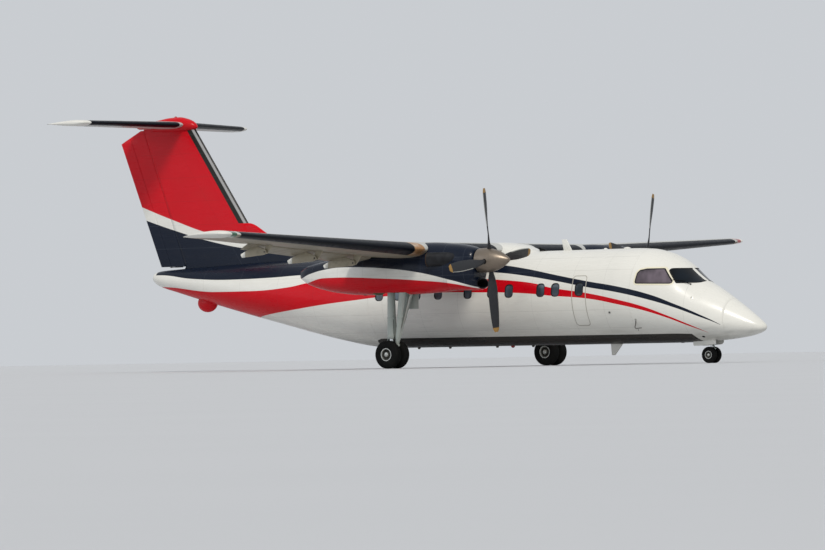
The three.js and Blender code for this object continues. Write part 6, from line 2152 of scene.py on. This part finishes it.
def static_wicks():
    shapes = []
    for y in (12.58, 12.72, 12.84):
        x, y, z = wing_point(y, 0.995)
        shapes.append(rod((x, y, z), (x - 0.13, y + 0.01, z - 0.005), 0.0045, 0.003, segments=8))
    for y in (3.68, 3.78):
        x, y, z = tail_ring(tail_at(y), [[0.985, 0.0]])[0]
        shapes.append(rod((x, y, z), (x - 0.12, y + 0.01, z), 0.0045, 0.003, segments=8))
    pair("static_wicks", merged(*shapes), "black")


def jack_pads():
    pads = [rod(place(2.7, 0, 0.567), place(2.7, 0, 0.6), 0.045, segments=40, bevel=0.002)]
    for y in (NACELLE_Y, -NACELLE_Y):
        pads.append(rod(place(10.6, y, 2.0421), place(10.6, y, 2.09), 0.045, segments=40, bevel=0.002))
    piece("jack_pads", merged(*pads), "steel")


def fuel_caps():
    share = 0.4
    shapes = []
    for y in (6.6, 9.4):
        upper = float(airfoil(share, wing_at(y)["thick"], CAMBER, True)[1])
        top, middle = Vector(wing_point(y, share, upper)), Vector(wing_point(y, share))
        up = (top - middle).normalized()
        shapes.append(rod(top - up * 0.02, top + up * 0.004, 0.07, segments=36, bevel=0.002))
        shapes.append(rod(top, top + up * 0.007, 0.045, segments=32, bevel=0.002))
    pair("fuel_caps", merged(*shapes), "alloy")


def door_handle(name, start, end, z, bevel, body="airframe"):
    """A bar on two posts, proud of the skin."""
    shapes = [skin_rod((start, z, -0.012), (end, z, -0.012), 1, 0.011, segments=14, bevel=bevel)]
    shapes += [skin_rod((s, z, 0.01), (s, z, -0.012), 1, 0.009, segments=12) for s in (start, end)]
    piece(name, merged(*shapes), "alloy", body)


tail_bumper()
antennas()
probes()
lamps()
static_wicks()
jack_pads()
fuel_caps()
door_handle("airstair_handle", 5.2, 5.06, 1.98, 0.003, "airstair")
door_handle("baggage_handle", 13.75, 13.58, 1.95, 0.0)


# Stage, camera and light


def stage():
    ground = Shader("studio_floor", specular=0.3)
    mottle = ground.noise(0.4, 3.0)
    paint = ground.tinted(colour("bdbfc2"), mottle, 0.01)
    material = ground.done(paint, ground.ramp(mottle, 0.3, 0.7, 0.6, 0.75), ground.bump(mottle, 0.001, 0.1))
    angles = circle(96)
    radii = (0.5, 60, 400, 1500, 6000)
    rings = [[(radius * math.cos(a), radius * math.sin(a), 0) for a in angles] for radius in radii]
    verts, faces = loft(rings, caps=False)
    faces.append(tuple(range(len(angles))))
    add_object("studio_floor", build_mesh("floor", (verts, faces)), material)
    world = bpy.data.worlds.new("studio")
    world.use_nodes = True
    background = world.node_tree.nodes["Background"]
    background.inputs["Color"].default_value = colour("e9edf2")
    background.inputs["Strength"].default_value = 0.72
    bpy.context.scene.world = world
    lights = [("key", (45, -60, 85), 14, 2.0, "fff9f0"), ("fill", (-60, -80, 25), 40, 0.35, "eaf1ff")]
    for name, where, spread, power, tint in lights:
        data = bpy.data.lights.new(name, "SUN")
        data.angle = math.radians(spread)
        data.energy = power
        data.color = colour(tint)[:3]
        lamp = bpy.data.objects.new(name, data)
        bpy.context.scene.collection.objects.link(lamp)
        lamp.location = where
        lamp.rotation_euler = (Vector((0, 0, 3)) - Vector(where)).to_track_quat("-Z", "Y").to_euler()
    bpy.context.scene.view_settings.view_transform = "Standard"


def camera():
    """The photograph's view, from floor level."""
    azimuth, distance, eye_level, roll = math.radians(35.25), 151.84, 0.3, math.radians(-1.02)
    target = Vector((-0.645, 0, 2.65))
    data = bpy.data.cameras.new("photo_camera")
    data.lens = 232.4
    data.sensor_width = 36
    data.clip_end = 1000
    thing = bpy.data.objects.new("photo_camera", data)
    bpy.context.scene.collection.objects.link(thing)
    where = target + Vector((math.sin(azimuth), -math.cos(azimuth), 0)) * distance
    where.z = eye_level
    aim = (target - where).to_track_quat("-Z", "Y")
    thing.matrix_world = Matrix.Translation(where) @ aim.to_matrix().to_4x4() @ Matrix.Rotation(roll, 4, "Z")
    bpy.context.scene.camera = thing


def paint_engines():
    for side in SIDES:
        mesh = frame["nodes"][f"engine_{side}"].data
        mesh.materials.clear()
        mesh.materials.append(MAT["steel"])


paint_engines()
stage()
camera()
